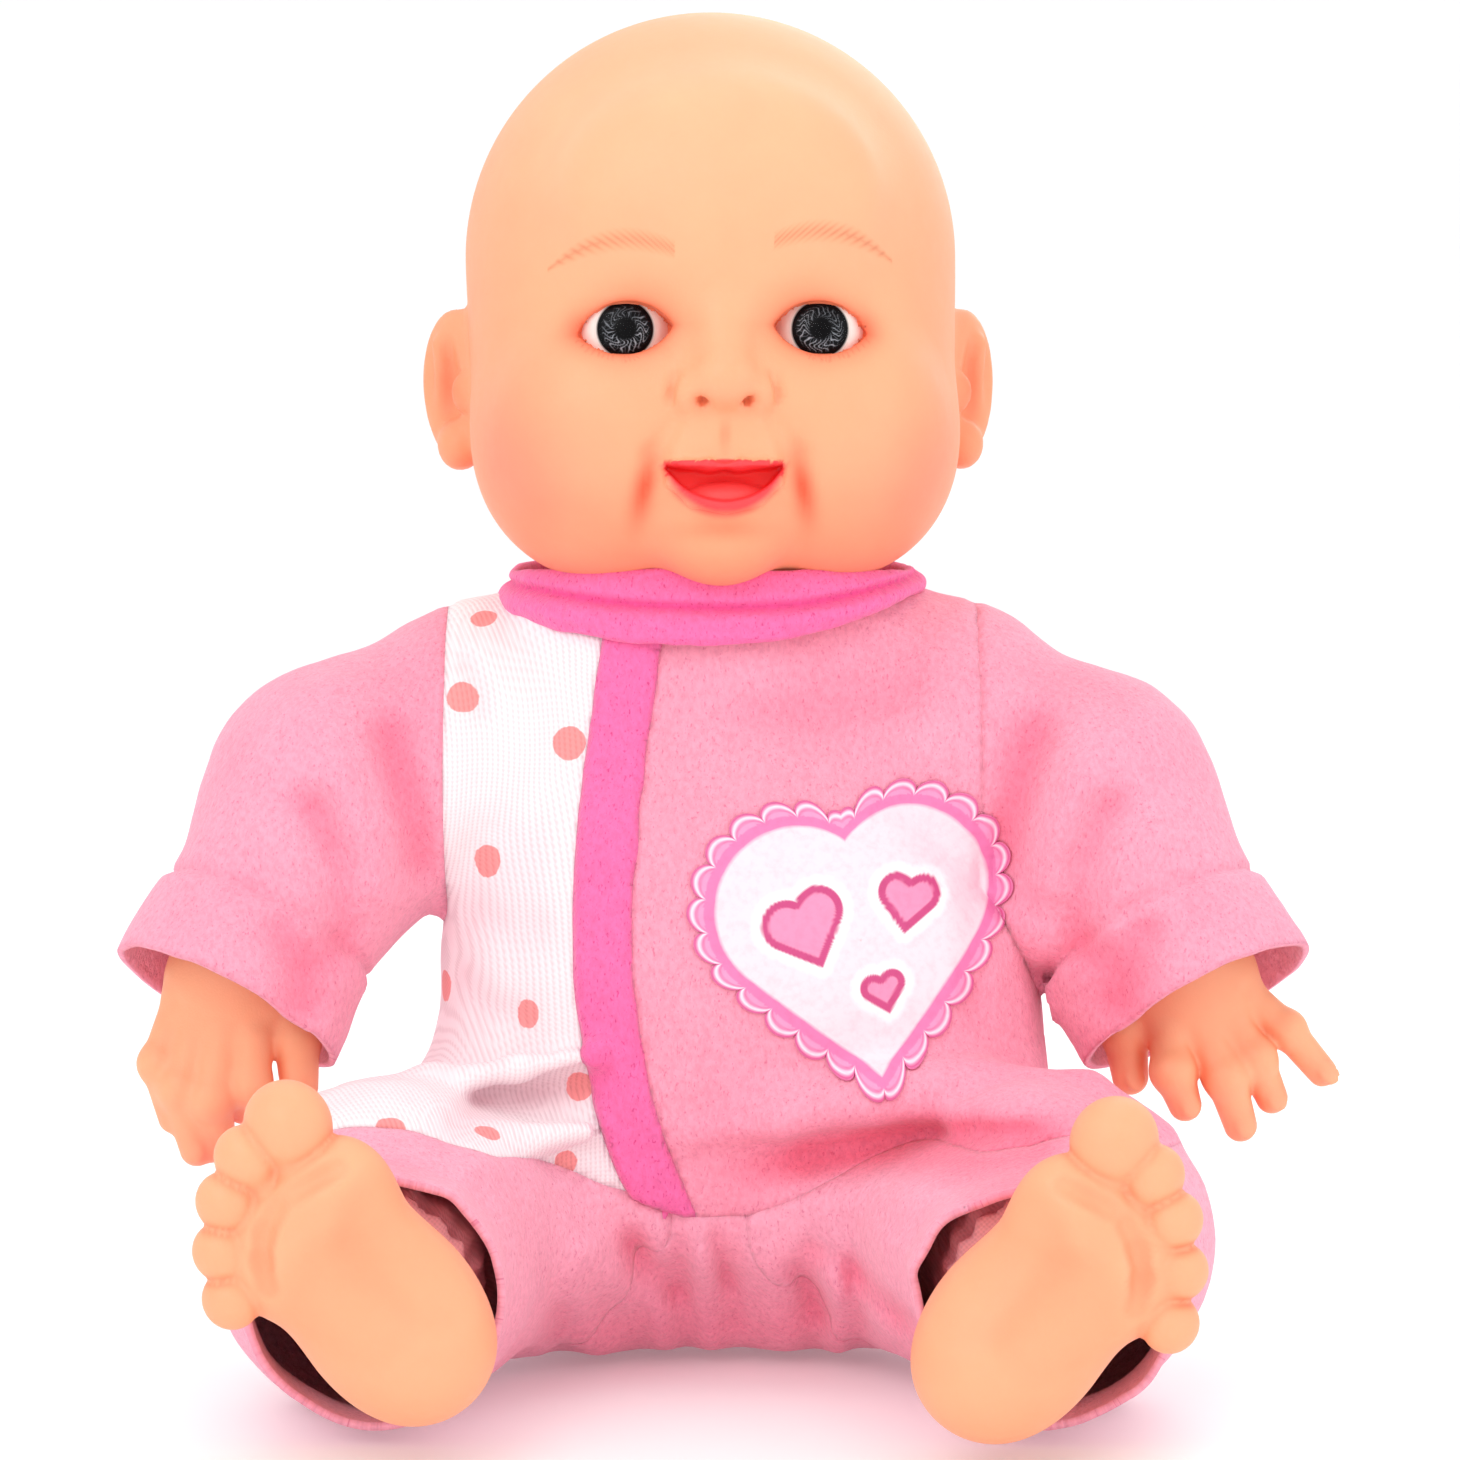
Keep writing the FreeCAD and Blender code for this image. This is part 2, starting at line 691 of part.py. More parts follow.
def make_arm():
    """Sleeve, cloth arm, stuffing, wrist tie and vinyl hand, and the same on the right."""
    shoulder, elbow, cuff = point("shoulder"), point("elbow"), point("cuff")
    down = (cuff - elbow).normalize()
    inside = half_space(
        "armhole_left",
        Vector(-EVERYWHERE, -EVERYWHERE, -EVERYWHERE),
        Vector(cell("armhole_x"), EVERYWHERE, EVERYWHERE),
    )
    radii = ["Sizes.sleeve_root", "Sizes.sleeve_elbow", "Sizes.sleeve_cuff"]
    thinner = [r + " - Sizes.cloth_thick" for r in radii]
    path = [shoulder, elbow, cuff]
    sleeve = cut(
        "left_sleeve",
        tube("sleeve_outer", path, radii),
        tube("sleeve_inner", path, thinner, last=3.0),
        inside,
    )
    both_sides("sleeve", sleeve)

    end = cuff - down * cell("arm_short")
    path = [shoulder, elbow, end]
    radii = ["Sizes.arm_root", "Sizes.arm_elbow", "Sizes.arm_end"]
    thinner = [r + " - Sizes.cover_thick" for r in radii]
    filling = cut("left_arm_filling", tube("arm_inner", path, thinner), inside)
    skin = cut("left_arm_skin", tube("arm_outer", path, radii), filling, inside)
    place = Placement(end, towards(down))
    mouth, tie, stub = tied_end("wrist", place, "wrist", "Sizes.wrist_length")
    both_sides("arm_stuffing", filling)
    both_sides("arm_cover", fuse("left_arm_cover", skin, mouth))
    both_sides("wrist_tie", tie)
    both_sides("hand", make_hand(hand_place(cuff, down), stub))


def hand_place(cuff, down):
    """The hand's frame: fingers down and a little out, its back to the front."""
    tips = Vector(0.22, -0.20, -0.955).normalize()
    back = Vector(0.25, -0.96, 0.12)
    back = (back - tips * back.dot(tips)).normalize()
    thumb = tips.cross(back) * -1
    turn = Rotation(thumb * -1, back, tips, "ZXY")
    return Placement(cuff - down * cell("hand_sunk"), turn)


def make_leg():
    """Trouser leg, cloth leg, stuffing, ankle tie and vinyl foot, and the same on the right."""
    thigh, knee, ankle = point("thigh"), point("knee"), point("ankle")
    along = (ankle - knee).normalize()
    hips = barrel(
        "leg_clear_barrel",
        "Sizes.seat_radius + Sizes.seat_clearance",
        "Sizes.seat_half + Sizes.seat_clearance",
    )
    lap = stack("leg_clear_lap", SEAT_ROWS, "Sizes.seat_ease + Sizes.seat_clearance")
    doc.recompute()
    hinge = Vector(0, 0, cell("hip_height"))
    raised = copy_of("leg_clear_raised", lap)
    raised.Placement = Placement(Vector(0, 0, 0), Rotation(Vector(1, 0, 0), cell("leg_raise")), hinge)
    centre = half_space(
        "leg_clear_middle",
        Vector(-EVERYWHERE, -EVERYWHERE, -EVERYWHERE),
        Vector(0.6, EVERYWHERE, EVERYWHERE),
    )
    radii = ["Sizes.trouser_root", "Sizes.trouser_knee", "Sizes.trouser_cuff"]
    thinner = [r + " - Sizes.cloth_thick" for r in radii]
    path = [thigh, knee, ankle]
    trouser = cut(
        "left_trouser_leg",
        tube("trouser_outer", path, radii),
        tube("trouser_inner", path, thinner, last=3.0),
        hips,
        lap,
        raised,
        centre,
    )
    both_sides("trouser_leg", trouser)

    end = ankle - along * cell("leg_short")
    path = [thigh, knee, end]
    radii = ["Sizes.leg_root", "Sizes.leg_knee", "Sizes.leg_end"]
    thinner = [r + " - Sizes.cover_thick" for r in radii]
    filling = cut("left_leg_filling", tube("leg_inner", path, thinner), hips, lap, raised)
    skin = cut("left_leg_skin", tube("leg_outer", path, radii), filling, hips, lap, raised)
    place = Placement(end, towards(along))
    mouth, tie, stub = tied_end("ankle", place, "ankle", "Sizes.ankle_length")
    both_sides("leg_stuffing", filling)
    both_sides("leg_cover", fuse("left_leg_cover", skin, mouth))
    both_sides("ankle_tie", tie)
    both_sides("foot", make_foot(ankle, stub, place))


# Toes in the foot's own frame: x towards the big toe, y out of the sole, z heel to toes.
TOES = [(8.5, 1.0, 40.5, 6.6), (0.5, 0.5, 41.0, 4.6), (-5.5, 0.5, 37.5, 4.4),
        (-10.5, 0.5, 32.5, 4.3), (-14.0, 0.5, 26.5, 4.2)]
HEEL_FROM_ANKLE = Vector(-9.5, -18.5, -8.0)


def make_foot(ankle, stub, mouth):
    """Hollow heel and ball with five toes; the sole faces forward, the toes lean outwards."""
    heel = ankle + HEEL_FROM_ANKLE
    turn = Rotation(Vector(0, 1, 0), cell("foot_roll")) * Rotation(
        Vector(-1, 0, 0), Vector(0, -1, 0), Z_AXIS, "ZXY"
    )
    place = Placement(heel, turn)
    shells = []
    for name, less in (("foot", "0"), ("foot_room", "Sizes.foot_wall")):
        back = primitive(
            "Sphere", name + "_heel", Placement(heel, Rotation()),
            Radius=f"Sizes.heel_radius - {less}",
        )
        instep = spheroid(
            name + "_instep",
            place * Placement(Vector(0, -1, 13), Rotation()),
            f"Sizes.instep_wide - {less}",
            f"Sizes.instep_long - {less}",
        )
        ball = spheroid(
            name + "_ball",
            place * Placement(Vector(-1, 1, 26), Rotation(Vector(1, 0, 0), 90)),
            f"Sizes.ball_wide - {less}",
            f"Sizes.ball_thick - {less}",
        )
        shells.append([back, instep, ball])
    pieces = shells[0] + [stub]
    for i, (x, y, z, radius) in enumerate(TOES):
        at = place.multVec(Vector(x, y, z))
        pieces.append(
            primitive("Sphere", f"toe{i}", Placement(at, Rotation()), Radius=str(radius))
        )
    bore = disc_on(
        "foot_bore", mouth, "Sizes.ankle_neck - Sizes.foot_wall", "-1",
        "Sizes.limb_groove + Sizes.ankle_length",
    )
    return cut("left_foot", fuse("foot_outer", *pieces), *shells[1], bore)


# ---------------------------------------------------------------- head


def head_place():
    """The head's frame in the row frame: looking up a little and turned to the doll's left."""
    turn = Rotation(Z_AXIS, cell("head_yaw")) * Rotation(Vector(1, 0, 0), -cell("head_pitch"))
    return Placement(Vector(0, cell("neck_y"), cell("head_height")), turn)


def head_point(*spot):
    """A point of the head's frame in the row frame."""
    return head_place().multVec(Vector(*spot))


def head_sphere(name, centre, radius):
    """A sphere in the head's frame."""
    return primitive("Sphere", name, head_place() * Placement(centre, Rotation()), Radius=radius)


def head_form(name, less):
    """Skull, brow, cheeks and chin as balls, each smaller by an expression."""
    spots = {
        "back": (0, cell("skull_back"), cell("skull_up")),
        "brow": (0, cell("brow_y"), cell("skull_up")),
        "left_cheek": (cell("cheek_x"), cell("cheek_y"), cell("cheek_up")),
        "right_cheek": (-cell("cheek_x"), cell("cheek_y"), cell("cheek_up")),
        "chin": (0, cell("chin_y"), cell("chin_up")),
    }
    radii = {
        "back": "skull_radius", "brow": "skull_radius", "left_cheek": "cheek_radius",
        "right_cheek": "cheek_radius", "chin": "chin_radius",
    }
    return [
        head_sphere(f"{name}_{key}", Vector(*spot), f"Sizes.{radii[key]} - {less}")
        for key, spot in spots.items()
    ]


def make_ear(side, sign):
    """A rounded upright lobe on the side of the head."""
    low = Vector(sign * cell("ear_x"), cell("ear_y"), cell("ear_up") - cell("ear_half"))
    top = low + Vector(0, 0, 2 * cell("ear_half"))
    rod = primitive(
        "Cylinder",
        side + "_ear_rod",
        head_place() * Placement(low, Rotation()),
        Radius="Sizes.ear_radius",
        Height="2 * Sizes.ear_half",
    )
    ends = [
        head_sphere(f"{side}_ear_{end}", spot, "Sizes.ear_radius")
        for end, spot in (("lobe", low), ("top", top))
    ]
    return [rod] + ends


def make_head():
    """Hollow vinyl head with ears, nose, eye holes and a flanged neck, and its two eyes."""
    outer = head_form("head_outer", "0")
    for side, sign in (("left", 1), ("right", -1)):
        outer += make_ear(side, sign)
    nose = Vector(0, cell("nose_y"), cell("nose_up"))
    outer.append(head_sphere("nose", nose, "Sizes.nose_radius"))
    low, top = "Sizes.neck_bottom", "Sizes.neck_top"
    outer.append(neck_cylinder("neck_stub", "Sizes.neck_radius", low, top))
    outer.append(
        neck_cylinder("neck_flange", "Sizes.flange_radius", low, f"{low} + Sizes.flange_thick")
    )
    hollow = head_form("head_inner", "Sizes.head_wall")
    hollow.append(neck_cylinder("neck_bore", "Sizes.neck_bore", f"{low} - 1", f"{top} + 6"))
    shell = cut("head_hollowed", fuse("head_outer", *outer), *hollow)
    for side, sign in (("left", 1), ("right", -1)):
        socket = eye_ball(side + "_eye_hole", sign, "Sizes.eye_radius + Sizes.eye_gap")
        shell = cut(side + "_socketed", shell, socket)
    for side, sign in (("left", 1), ("right", -1)):
        shell = cut(side + "_opened", shell, lid_gap(side, sign))
    part("head_shell", shell)
    for side, sign in (("left", 1), ("right", -1)):
        make_eye(side, sign)


def lid_gap(side, sign):
    """The opening between an eye's lids, along its line of sight."""
    ring = doc.addObject("Part::Ellipse", side + "_lid_ring")
    ring.Placement = Placement(
        eye_spot(sign), head_place().Rotation * Rotation(Vector(1, 0, 0), 90)
    )
    link(ring, MajorRadius="Sizes.lid_wide", MinorRadius="Sizes.lid_tall")
    made = doc.addObject("Part::Extrusion", side + "_lid_gap")
    made.Base = ring
    made.DirMode = "Normal"
    made.LengthFwd = 2 * cell("eye_radius")
    made.Solid = True
    return made


def eye_spot(sign, forward=0.0):
    """A point on an eye's axis, that far in front of its centre, in the row frame."""
    return head_point(sign * cell("eye_x"), cell("eye_y") - forward, cell("eye_up"))


def eye_ball(name, sign, radius):
    """A sphere at an eye's centre, with its poles on the line of sight."""
    turn = head_place().Rotation * Rotation(Vector(1, 0, 0), 90)
    return primitive("Sphere", name, Placement(eye_spot(sign), turn), Radius=radius)


def make_eye(side, sign):
    """White eyeball, printed iris disc in its pocket, and the clear cornea in front."""
    forward = head_place().Rotation * Rotation(Vector(1, 0, 0), 90)
    depth, thick = cell("iris_depth"), cell("iris_thick")
    cap = primitive(
        "Cylinder",
        side + "_eye_cap",
        Placement(eye_spot(sign, depth), forward),
        Radius="Sizes.eye_radius",
        Height="Sizes.eye_radius",
    )
    pocket = primitive(
        "Cylinder",
        side + "_eye_pocket",
        Placement(eye_spot(sign, depth - thick), forward),
        Radius="Sizes.iris_radius",
        Height="Sizes.iris_thick",
    )
    ball = eye_ball(side + "_eye_ball", sign, "Sizes.eye_radius")
    part(side + "_eyeball", cut(side + "_eyeball", ball, cap, pocket))
    part(side + "_cornea", common(side + "_cornea", ball, cap))
    disc = primitive(
        "Cylinder",
        side + "_iris",
        Placement(eye_spot(sign, depth - thick), forward),
        Radius="Sizes.iris_radius",
        Height="Sizes.iris_thick",
    )
    part(side + "_iris", disc)


# ---------------------------------------------------------------- sound module

MODULE = Placement(
    Vector(cell("module_x"), cell("module_y"), cell("module_z")), Rotation(Vector(1, 0, 0), 90)
)


def new_body(node):
    """A PartDesign body in the sound module's frame."""
    made = doc.addObject("PartDesign::Body", node)
    made.Placement = MODULE
    return part(node, made)


def new_sketch(body, name, lift):
    """A sketch parallel to the body's XY plane, at a height given by an expression."""
    made = body.newObject("Sketcher::SketchObject", name)
    plane = [f for f in body.Origin.OriginFeatures if f.Role == "XY_Plane"][0]
    made.AttachmentSupport = [(plane, "")]
    made.MapMode = "FlatFace"
    made.setExpression("AttachmentOffset.Base.z", lift)
    return made


def place_point(sketch, geometry, corner, x, y):
    """Holds a point of a sketch's geometry at two expressions."""
    for kind, expression in (("DistanceX", x), ("DistanceY", y)):
        if value(expression) == 0:
            axis = -2 if kind == "DistanceX" else -1
            sketch.addConstraint(Sketcher.Constraint("PointOnObject", geometry, corner, axis))
            continue
        number = sketch.addConstraint(
            Sketcher.Constraint(kind, -1, 1, geometry, corner, value(expression))
        )
        sketch.setExpression(f"Constraints[{number}]", expression)


def draw_circle(sketch, radius, x="0", y="0"):
    centre = Vector(value(x), value(y), 0)
    ring = sketch.addGeometry(Part.Circle(centre, Z_AXIS, value(radius)))
    number = sketch.addConstraint(Sketcher.Constraint("Radius", ring, value(radius)))
    sketch.setExpression(f"Constraints[{number}]", radius)
    place_point(sketch, ring, 3, x, y)


def draw_box(sketch, wide, tall, x="0", y="0"):
    """A rectangle of that width and height about a centre."""
    w, h = value(wide) / 2, value(tall) / 2
    cx, cy = value(x), value(y)
    corners = [Vector(cx + i * w, cy + j * h, 0) for i, j in ((-1, -1), (1, -1), (1, 1), (-1, 1))]
    lines = [
        sketch.addGeometry(Part.LineSegment(corners[i], corners[(i + 1) % 4])) for i in range(4)
    ]
    for i, line in enumerate(lines):
        after = lines[(i + 1) % 4]
        sketch.addConstraint(Sketcher.Constraint("Coincident", line, 2, after, 1))
        kind = "Vertical" if i % 2 else "Horizontal"
        sketch.addConstraint(Sketcher.Constraint(kind, line))
    place_point(sketch, lines[0], 1, f"({x}) - ({wide}) / 2", f"({y}) - ({tall}) / 2")
    place_point(sketch, lines[2], 1, f"({x}) + ({wide}) / 2", f"({y}) + ({tall}) / 2")


def pad(body, name, lift, length, *shapes):
    """Adds material upwards from a sketch at a height."""
    sketch = new_sketch(body, name + "_sketch", lift)
    for draw, args in shapes:
        draw(sketch, *args)
    made = body.newObject("PartDesign::Pad", name)
    made.Profile = sketch
    made.setExpression("Length", length)
    doc.recompute()
    return made


def pocket(body, name, lift, length, *shapes):
    """Removes material downwards from a sketch at a height, and checks that it did."""
    before = body.Shape.Volume
    sketch = new_sketch(body, name + "_sketch", lift)
    for draw, args in shapes:
        draw(sketch, *args)
    made = body.newObject("PartDesign::Pocket", name)
    made.Profile = sketch
    made.setExpression("Length", length)
    doc.recompute()
    if body.Shape.Volume >= before:
        raise RuntimeError(f"{name} cut nothing")
    return made


def round_rim(body, name, base, height, size):
    """Rounds the circular edges of a feature at one height."""
    names = [
        f"Edge{i + 1}"
        for i, edge in enumerate(base.Shape.Edges)
        if isinstance(edge.Curve, Part.Circle)
        and abs(edge.Curve.Center.z - height) < 1e-4
        and len(edge.Vertexes) == 1
    ]
    made = body.newObject("PartDesign::Fillet", name)
    made.Base = (base, names)
    made.Radius = size
    doc.recompute()
    return made


def around(body, name, feature, count):
    """Repeats a feature round the module's axis."""
    made = body.newObject("PartDesign::PolarPattern", name)
    made.Originals = [feature]
    axis = [f for f in body.Origin.OriginFeatures if f.Role == "Z_Axis"][0]
    made.Axis = (axis, [""])
    made.Angle = 360
    made.Occurrences = count
    body.Tip = made
    doc.recompute()
    return made


BOSS_COUNT = 3
BOSS_X = "Sizes.boss_ring * cos(30 deg)"
BOSS_Y = "Sizes.boss_ring * sin(30 deg)"
SPEAKER = ("0", "Sizes.speaker_y")
BAY = ("0", "Sizes.bay_y")


def make_case():
    """Front and back halves of the sound module's case."""
    wall, radius = "Sizes.case_wall", "Sizes.case_radius"
    back = new_body("sound_case_back")
    can = pad(back, "back_can", "0", "Sizes.case_split", (draw_circle, (radius,)))
    round_rim(back, "back_rim", can, 0.0, 1.2)
    pocket(
        back, "back_room", "Sizes.case_split", f"Sizes.case_split - {wall}",
        (draw_circle, (f"{radius} - {wall}",)),
    )
    bay_out = ("Sizes.bay_long + 2 * Sizes.bay_wall", "Sizes.bay_wide + 2 * Sizes.bay_wall")
    pad(
        back, "bay_walls", wall, f"Sizes.bay_deep + Sizes.bay_wall - {wall}",
        (draw_box, (*bay_out, *BAY)),
    )
    pocket(
        back, "bay_room", "Sizes.bay_deep", "Sizes.bay_deep + 1",
        (draw_box, ("Sizes.bay_long", "Sizes.bay_wide", *BAY)),
    )
    pocket(
        back, "door_seat", "Sizes.door_thick", "Sizes.door_thick + 1",
        (draw_box, ("Sizes.door_long + 0.3", "Sizes.door_wide + 0.3", *BAY)),
    )
    slots = [
        (draw_circle, ("0.9", f"{x}", f"Sizes.speaker_y + ({y})"))
        for x, y in ((0, 0), (4, 0), (-4, 0), (2, 3.5), (-2, 3.5), (2, -3.5), (-2, -3.5))
    ]
    pocket(back, "speaker_grille", wall, f"{wall} + 1", *slots)
    pocket(
        back, "switch_slot", wall, f"{wall} + 1",
        (draw_box, ("2.8", "6.4", "Sizes.knob_x", "Sizes.knob_y")),
    )
    post = pad(
        back, "screw_post", wall, f"Sizes.case_split - {wall}",
        (draw_circle, ("Sizes.boss_radius", BOSS_X, BOSS_Y)),
    )
    around(back, "screw_posts", post, BOSS_COUNT)
    shank = pocket(
        back, "screw_hole", "Sizes.case_split", "Sizes.case_split + 1",
        (draw_circle, ("Sizes.screw_radius + 0.15", BOSS_X, BOSS_Y)),
    )
    around(back, "screw_holes", shank, BOSS_COUNT)
    sink = pocket(
        back, "screw_sink", "1.4", "2.4",
        (draw_circle, ("Sizes.screw_head + 0.15", BOSS_X, BOSS_Y)),
    )
    around(back, "screw_sinks", sink, BOSS_COUNT)
    pocket(
        back, "door_screw_hole", "4", "5",
        (draw_circle, ("Sizes.screw_radius - 0.1", "Sizes.door_long / 2 - 1.6", "Sizes.bay_y")),
    )

    front = new_body("sound_case_front")
    tall = "Sizes.case_depth - Sizes.case_split"
    lid = pad(front, "front_can", "Sizes.case_split", tall, (draw_circle, (radius,)))
    round_rim(front, "front_rim", lid, cell("case_depth"), 2.0)
    made = new_sketch(front, "front_room_sketch", "Sizes.case_split")
    draw_circle(made, f"{radius} - {wall}")
    room = front.newObject("PartDesign::Pocket", "front_room")
    room.Profile = made
    room.Reversed = True
    room.setExpression("Length", f"{tall} - {wall}")
    doc.recompute()
    pocket(
        front, "button_hole", "Sizes.case_depth", f"{wall} + 1",
        (draw_circle, ("Sizes.button_hole",)),
    )
    boss = pad(
        front, "screw_boss", "Sizes.case_split", f"{tall} - {wall}",
        (draw_circle, ("Sizes.boss_radius", BOSS_X, BOSS_Y)),
    )
    around(front, "screw_bosses", boss, BOSS_COUNT)
    pilot = new_sketch(front, "pilot_sketch", "Sizes.case_split")
    draw_circle(pilot, "Sizes.screw_radius", BOSS_X, BOSS_Y)
    drilled = front.newObject("PartDesign::Pocket", "pilot_hole")
    drilled.Profile = pilot
    drilled.Reversed = True
    drilled.Length = 5
    doc.recompute()
    around(front, "pilot_holes", drilled, BOSS_COUNT)


def make_button():
    """The big press button, held by its flange behind the front plate."""
    flange_top = "Sizes.case_depth - Sizes.case_wall - 0.1"
    button = new_body("sound_button")
    pad(
        button, "button_flange_ring", f"{flange_top} - 1.4", "1.4",
        (draw_circle, ("Sizes.button_flange",)),
    )
    cap = pad(
        button, "button_cap", flange_top, "Sizes.button_proud + Sizes.case_wall + 0.1",
        (draw_circle, ("Sizes.button_radius",)),
    )
    top = round_rim(button, "button_edge", cap, cell("case_depth") + cell("button_proud"), 1.5)
    button.Tip = top
    made = new_sketch(button, "button_hollow_sketch", f"{flange_top} - 1.4")
    draw_circle(made, "Sizes.button_radius - 1.4")
    hollow = button.newObject("PartDesign::Pocket", "button_hollow")
    hollow.Profile = made
    hollow.Reversed = True
    hollow.Length = 3.4
    doc.recompute()
    pad(button, "button_stem", "Sizes.board_height + 4.4", "2.5", (draw_circle, ("2.2",)))


def make_electronics():
    """Circuit board, chip, contact switch, speaker, leads, cells, contacts and door."""
    top = "Sizes.board_height + Sizes.board_thick"
    board = new_body("circuit_board")
    pad(
        board, "board_disc", "Sizes.board_height", "Sizes.board_thick",
        (draw_circle, ("Sizes.board_radius",)),
    )
    pocket(
        board, "board_notch", "Sizes.board_height + 2", "4",
        (draw_box, ("44", "30", "0", "Sizes.bay_y - Sizes.bay_wide / 2 - Sizes.bay_wall + 14.6")),
    )
    chip = new_body("sound_chip")
    blob = pad(
        chip, "chip_blob", "Sizes.board_height - 1.2", "1.2",
        (draw_circle, ("3.6", "-11", "1")),
    )
    round_rim(chip, "chip_edge", blob, cell("board_height") - 1.2, 1.0)
    switch = new_body("contact_switch")
    pad(switch, "switch_block", top, "1.6", (draw_box, ("6", "6")))
    pad(switch, "switch_plunger", f"{top} + 1.6", "0.6", (draw_circle, ("1.6",)))

    frame = new_body("speaker_frame")
    floor = "Sizes.case_wall"
    pad(frame, "basket", floor, "Sizes.speaker_deep", (draw_circle, ("Sizes.speaker_radius", *SPEAKER)))
    pocket(
        frame, "basket_room", f"{floor} + Sizes.speaker_deep - 0.8", "Sizes.speaker_deep",
        (draw_circle, ("Sizes.speaker_radius - 1.2", *SPEAKER)),
    )
    magnet = new_body("speaker_magnet")
    pad(
        magnet, "magnet_disc", f"{floor} + Sizes.speaker_deep", "1.8",
        (draw_circle, ("5", *SPEAKER)),
    )
    cone = primitive(
        "Cone",
        "speaker_cone",
        MODULE * Placement(Vector(0, cell("speaker_y"), cell("case_wall") + 0.6), Rotation()),
        Radius1="Sizes.speaker_radius - 1.4",
        Radius2="3",
        Height="2.4",
    )
    part("speaker_cone", cone)
    leads = []
    for i, x in enumerate(("6", "7.6")):
        leads.append(
            module_cylinder(
                f"lead{i}", "0.5", f"{floor} + Sizes.speaker_deep", "Sizes.board_height", x,
                "Sizes.speaker_y",
            )
        )
    part("speaker_leads", group("speaker_leads", *leads))

    stack_start = cell("module_x") - 1.5 * cell("cell_length")
    cells = []
    for i in range(3):
        cells.append(
            primitive(
                "Cylinder",
                f"cell{i}",
                Placement(
                    Vector(
                        stack_start + i * cell("cell_length"),
                        cell("module_y") - cell("bay_floor") - cell("cell_radius"),
                        cell("module_z") + cell("bay_y"),
                    ),
                    Rotation(Vector(0, 1, 0), 90),
                ),
                Radius="Sizes.cell_radius - 0.05",
                Height="Sizes.cell_length - 0.05",
            )
        )
    part("battery_cells", group("battery_cells", *cells))
    contacts = []
    for i, x in enumerate(("-Sizes.bay_long / 2", "Sizes.bay_long / 2 - 0.4")):
        contacts.append(
            primitive(
                "Box",
                f"contact{i}",
                Placement(Vector(0, 0, 0), Rotation(Vector(1, 0, 0), 90)),
                Length="0.4",
                Width="9",
                Height="8",
                Placement__Base__x=f"Sizes.module_x + {x}",
                Placement__Base__y="Sizes.module_y - 2.4",
                Placement__Base__z="Sizes.module_z + Sizes.bay_y - 4.5",
            )
        )
    part("battery_contacts", group("battery_contacts", *contacts))

    door = new_body("battery_door")
    plate = ("Sizes.door_long", "Sizes.door_wide", *BAY)
    pad(door, "door_plate", "0", "Sizes.door_thick", (draw_box, plate))
    pocket(
        door, "door_hole", "Sizes.door_thick", "Sizes.door_thick + 1",
        (draw_circle, ("Sizes.screw_radius + 0.15", "Sizes.door_long / 2 - 1.6", "Sizes.bay_y")),
    )
    screw = new_body("battery_door_screw")
    screw_x = "Sizes.door_long / 2 - 1.6"
    pad(screw, "door_screw_head", "-0.9", "0.9", (draw_circle, ("1.5", screw_x, "Sizes.bay_y")))
    pad(
        screw, "door_screw_shank", "0", "3.2",
        (draw_circle, ("Sizes.screw_radius - 0.1", screw_x, "Sizes.bay_y")),
    )

    screws = new_body("case_screws")
    head = pad(
        screws, "case_screw_head", "0.2", "1.2",
        (draw_circle, ("Sizes.screw_head", BOSS_X, BOSS_Y)),
    )
    rod = pad(
        screws, "case_screw_shank", "1.4", "15",
        (draw_circle, ("Sizes.screw_radius", BOSS_X, BOSS_Y)),
    )
    many = screws.newObject("PartDesign::PolarPattern", "case_screw_ring")
    many.Originals = [head, rod]
    axis = [f for f in screws.Origin.OriginFeatures if f.Role == "Z_Axis"][0]
    many.Axis = (axis, [""])
    many.Angle = 360
    many.Occurrences = BOSS_COUNT
    screws.Tip = many
    doc.recompute()


def make_power_switch():
    """Slide switch body on the back wall, and the knob that passes through its slot."""
    spot = ("Sizes.knob_x", "Sizes.knob_y")
    wall = "Sizes.case_wall"
    base = new_body("power_switch_body")
    pad(base, "slide_block", wall, "3.4", (draw_box, ("4.4", "9.4", *spot)))
    pocket(
        base, "slide_track", f"{wall} + 1.5", "3",
        (draw_box, ("2.4", "6.2", *spot)),
    )
    knob = new_body("power_switch_knob")
    pad(knob, "knob_tab", "-1.4", f"{wall} + 2.7", (draw_box, ("2.0", "2.4", *spot)))


def export_all():
    """Checks every object and sub-part, then writes one STEP file per node."""
    doc.recompute()
    for obj in doc.Objects:
        if "Invalid" in obj.State or "Error" in obj.State:
            raise RuntimeError(f"{obj.Name} failed: {obj.State}")
    for node, obj in PARTS.items():
        shape = obj.Shape
        if shape.isNull() or not shape.isValid() or not shape.Solids:
            raise RuntimeError(f"{node} has no valid solid")
    os.makedirs("parts", exist_ok=True)
    for name in os.listdir("parts"):
        os.remove(os.path.join("parts", name))
    for node, obj in PARTS.items():
        obj.Shape.exportStep(f"parts/{node}.step")
        print(node, len(obj.Shape.Solids), "solid(s)", round(obj.Shape.Volume / 1000, 2), "cm3")


make_torso()
make_romper_body()
make_arm()
make_leg()
make_head()
make_case()
make_button()
make_electronics()
make_power_switch()
export_all()
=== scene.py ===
"""Looks of the seated baby doll: vinyl head, hands and feet, and a fleece and jersey romper.

Shapes are made in millimetres, as fields that are negative inside, and turned into meshes in
metres in the frame of the CAD model: +Z up, the doll faces -Y, its own left side is +X.
"""

import math

import bmesh
import bpy
import numpy as np
from mathutils import Euler, Matrix, Vector


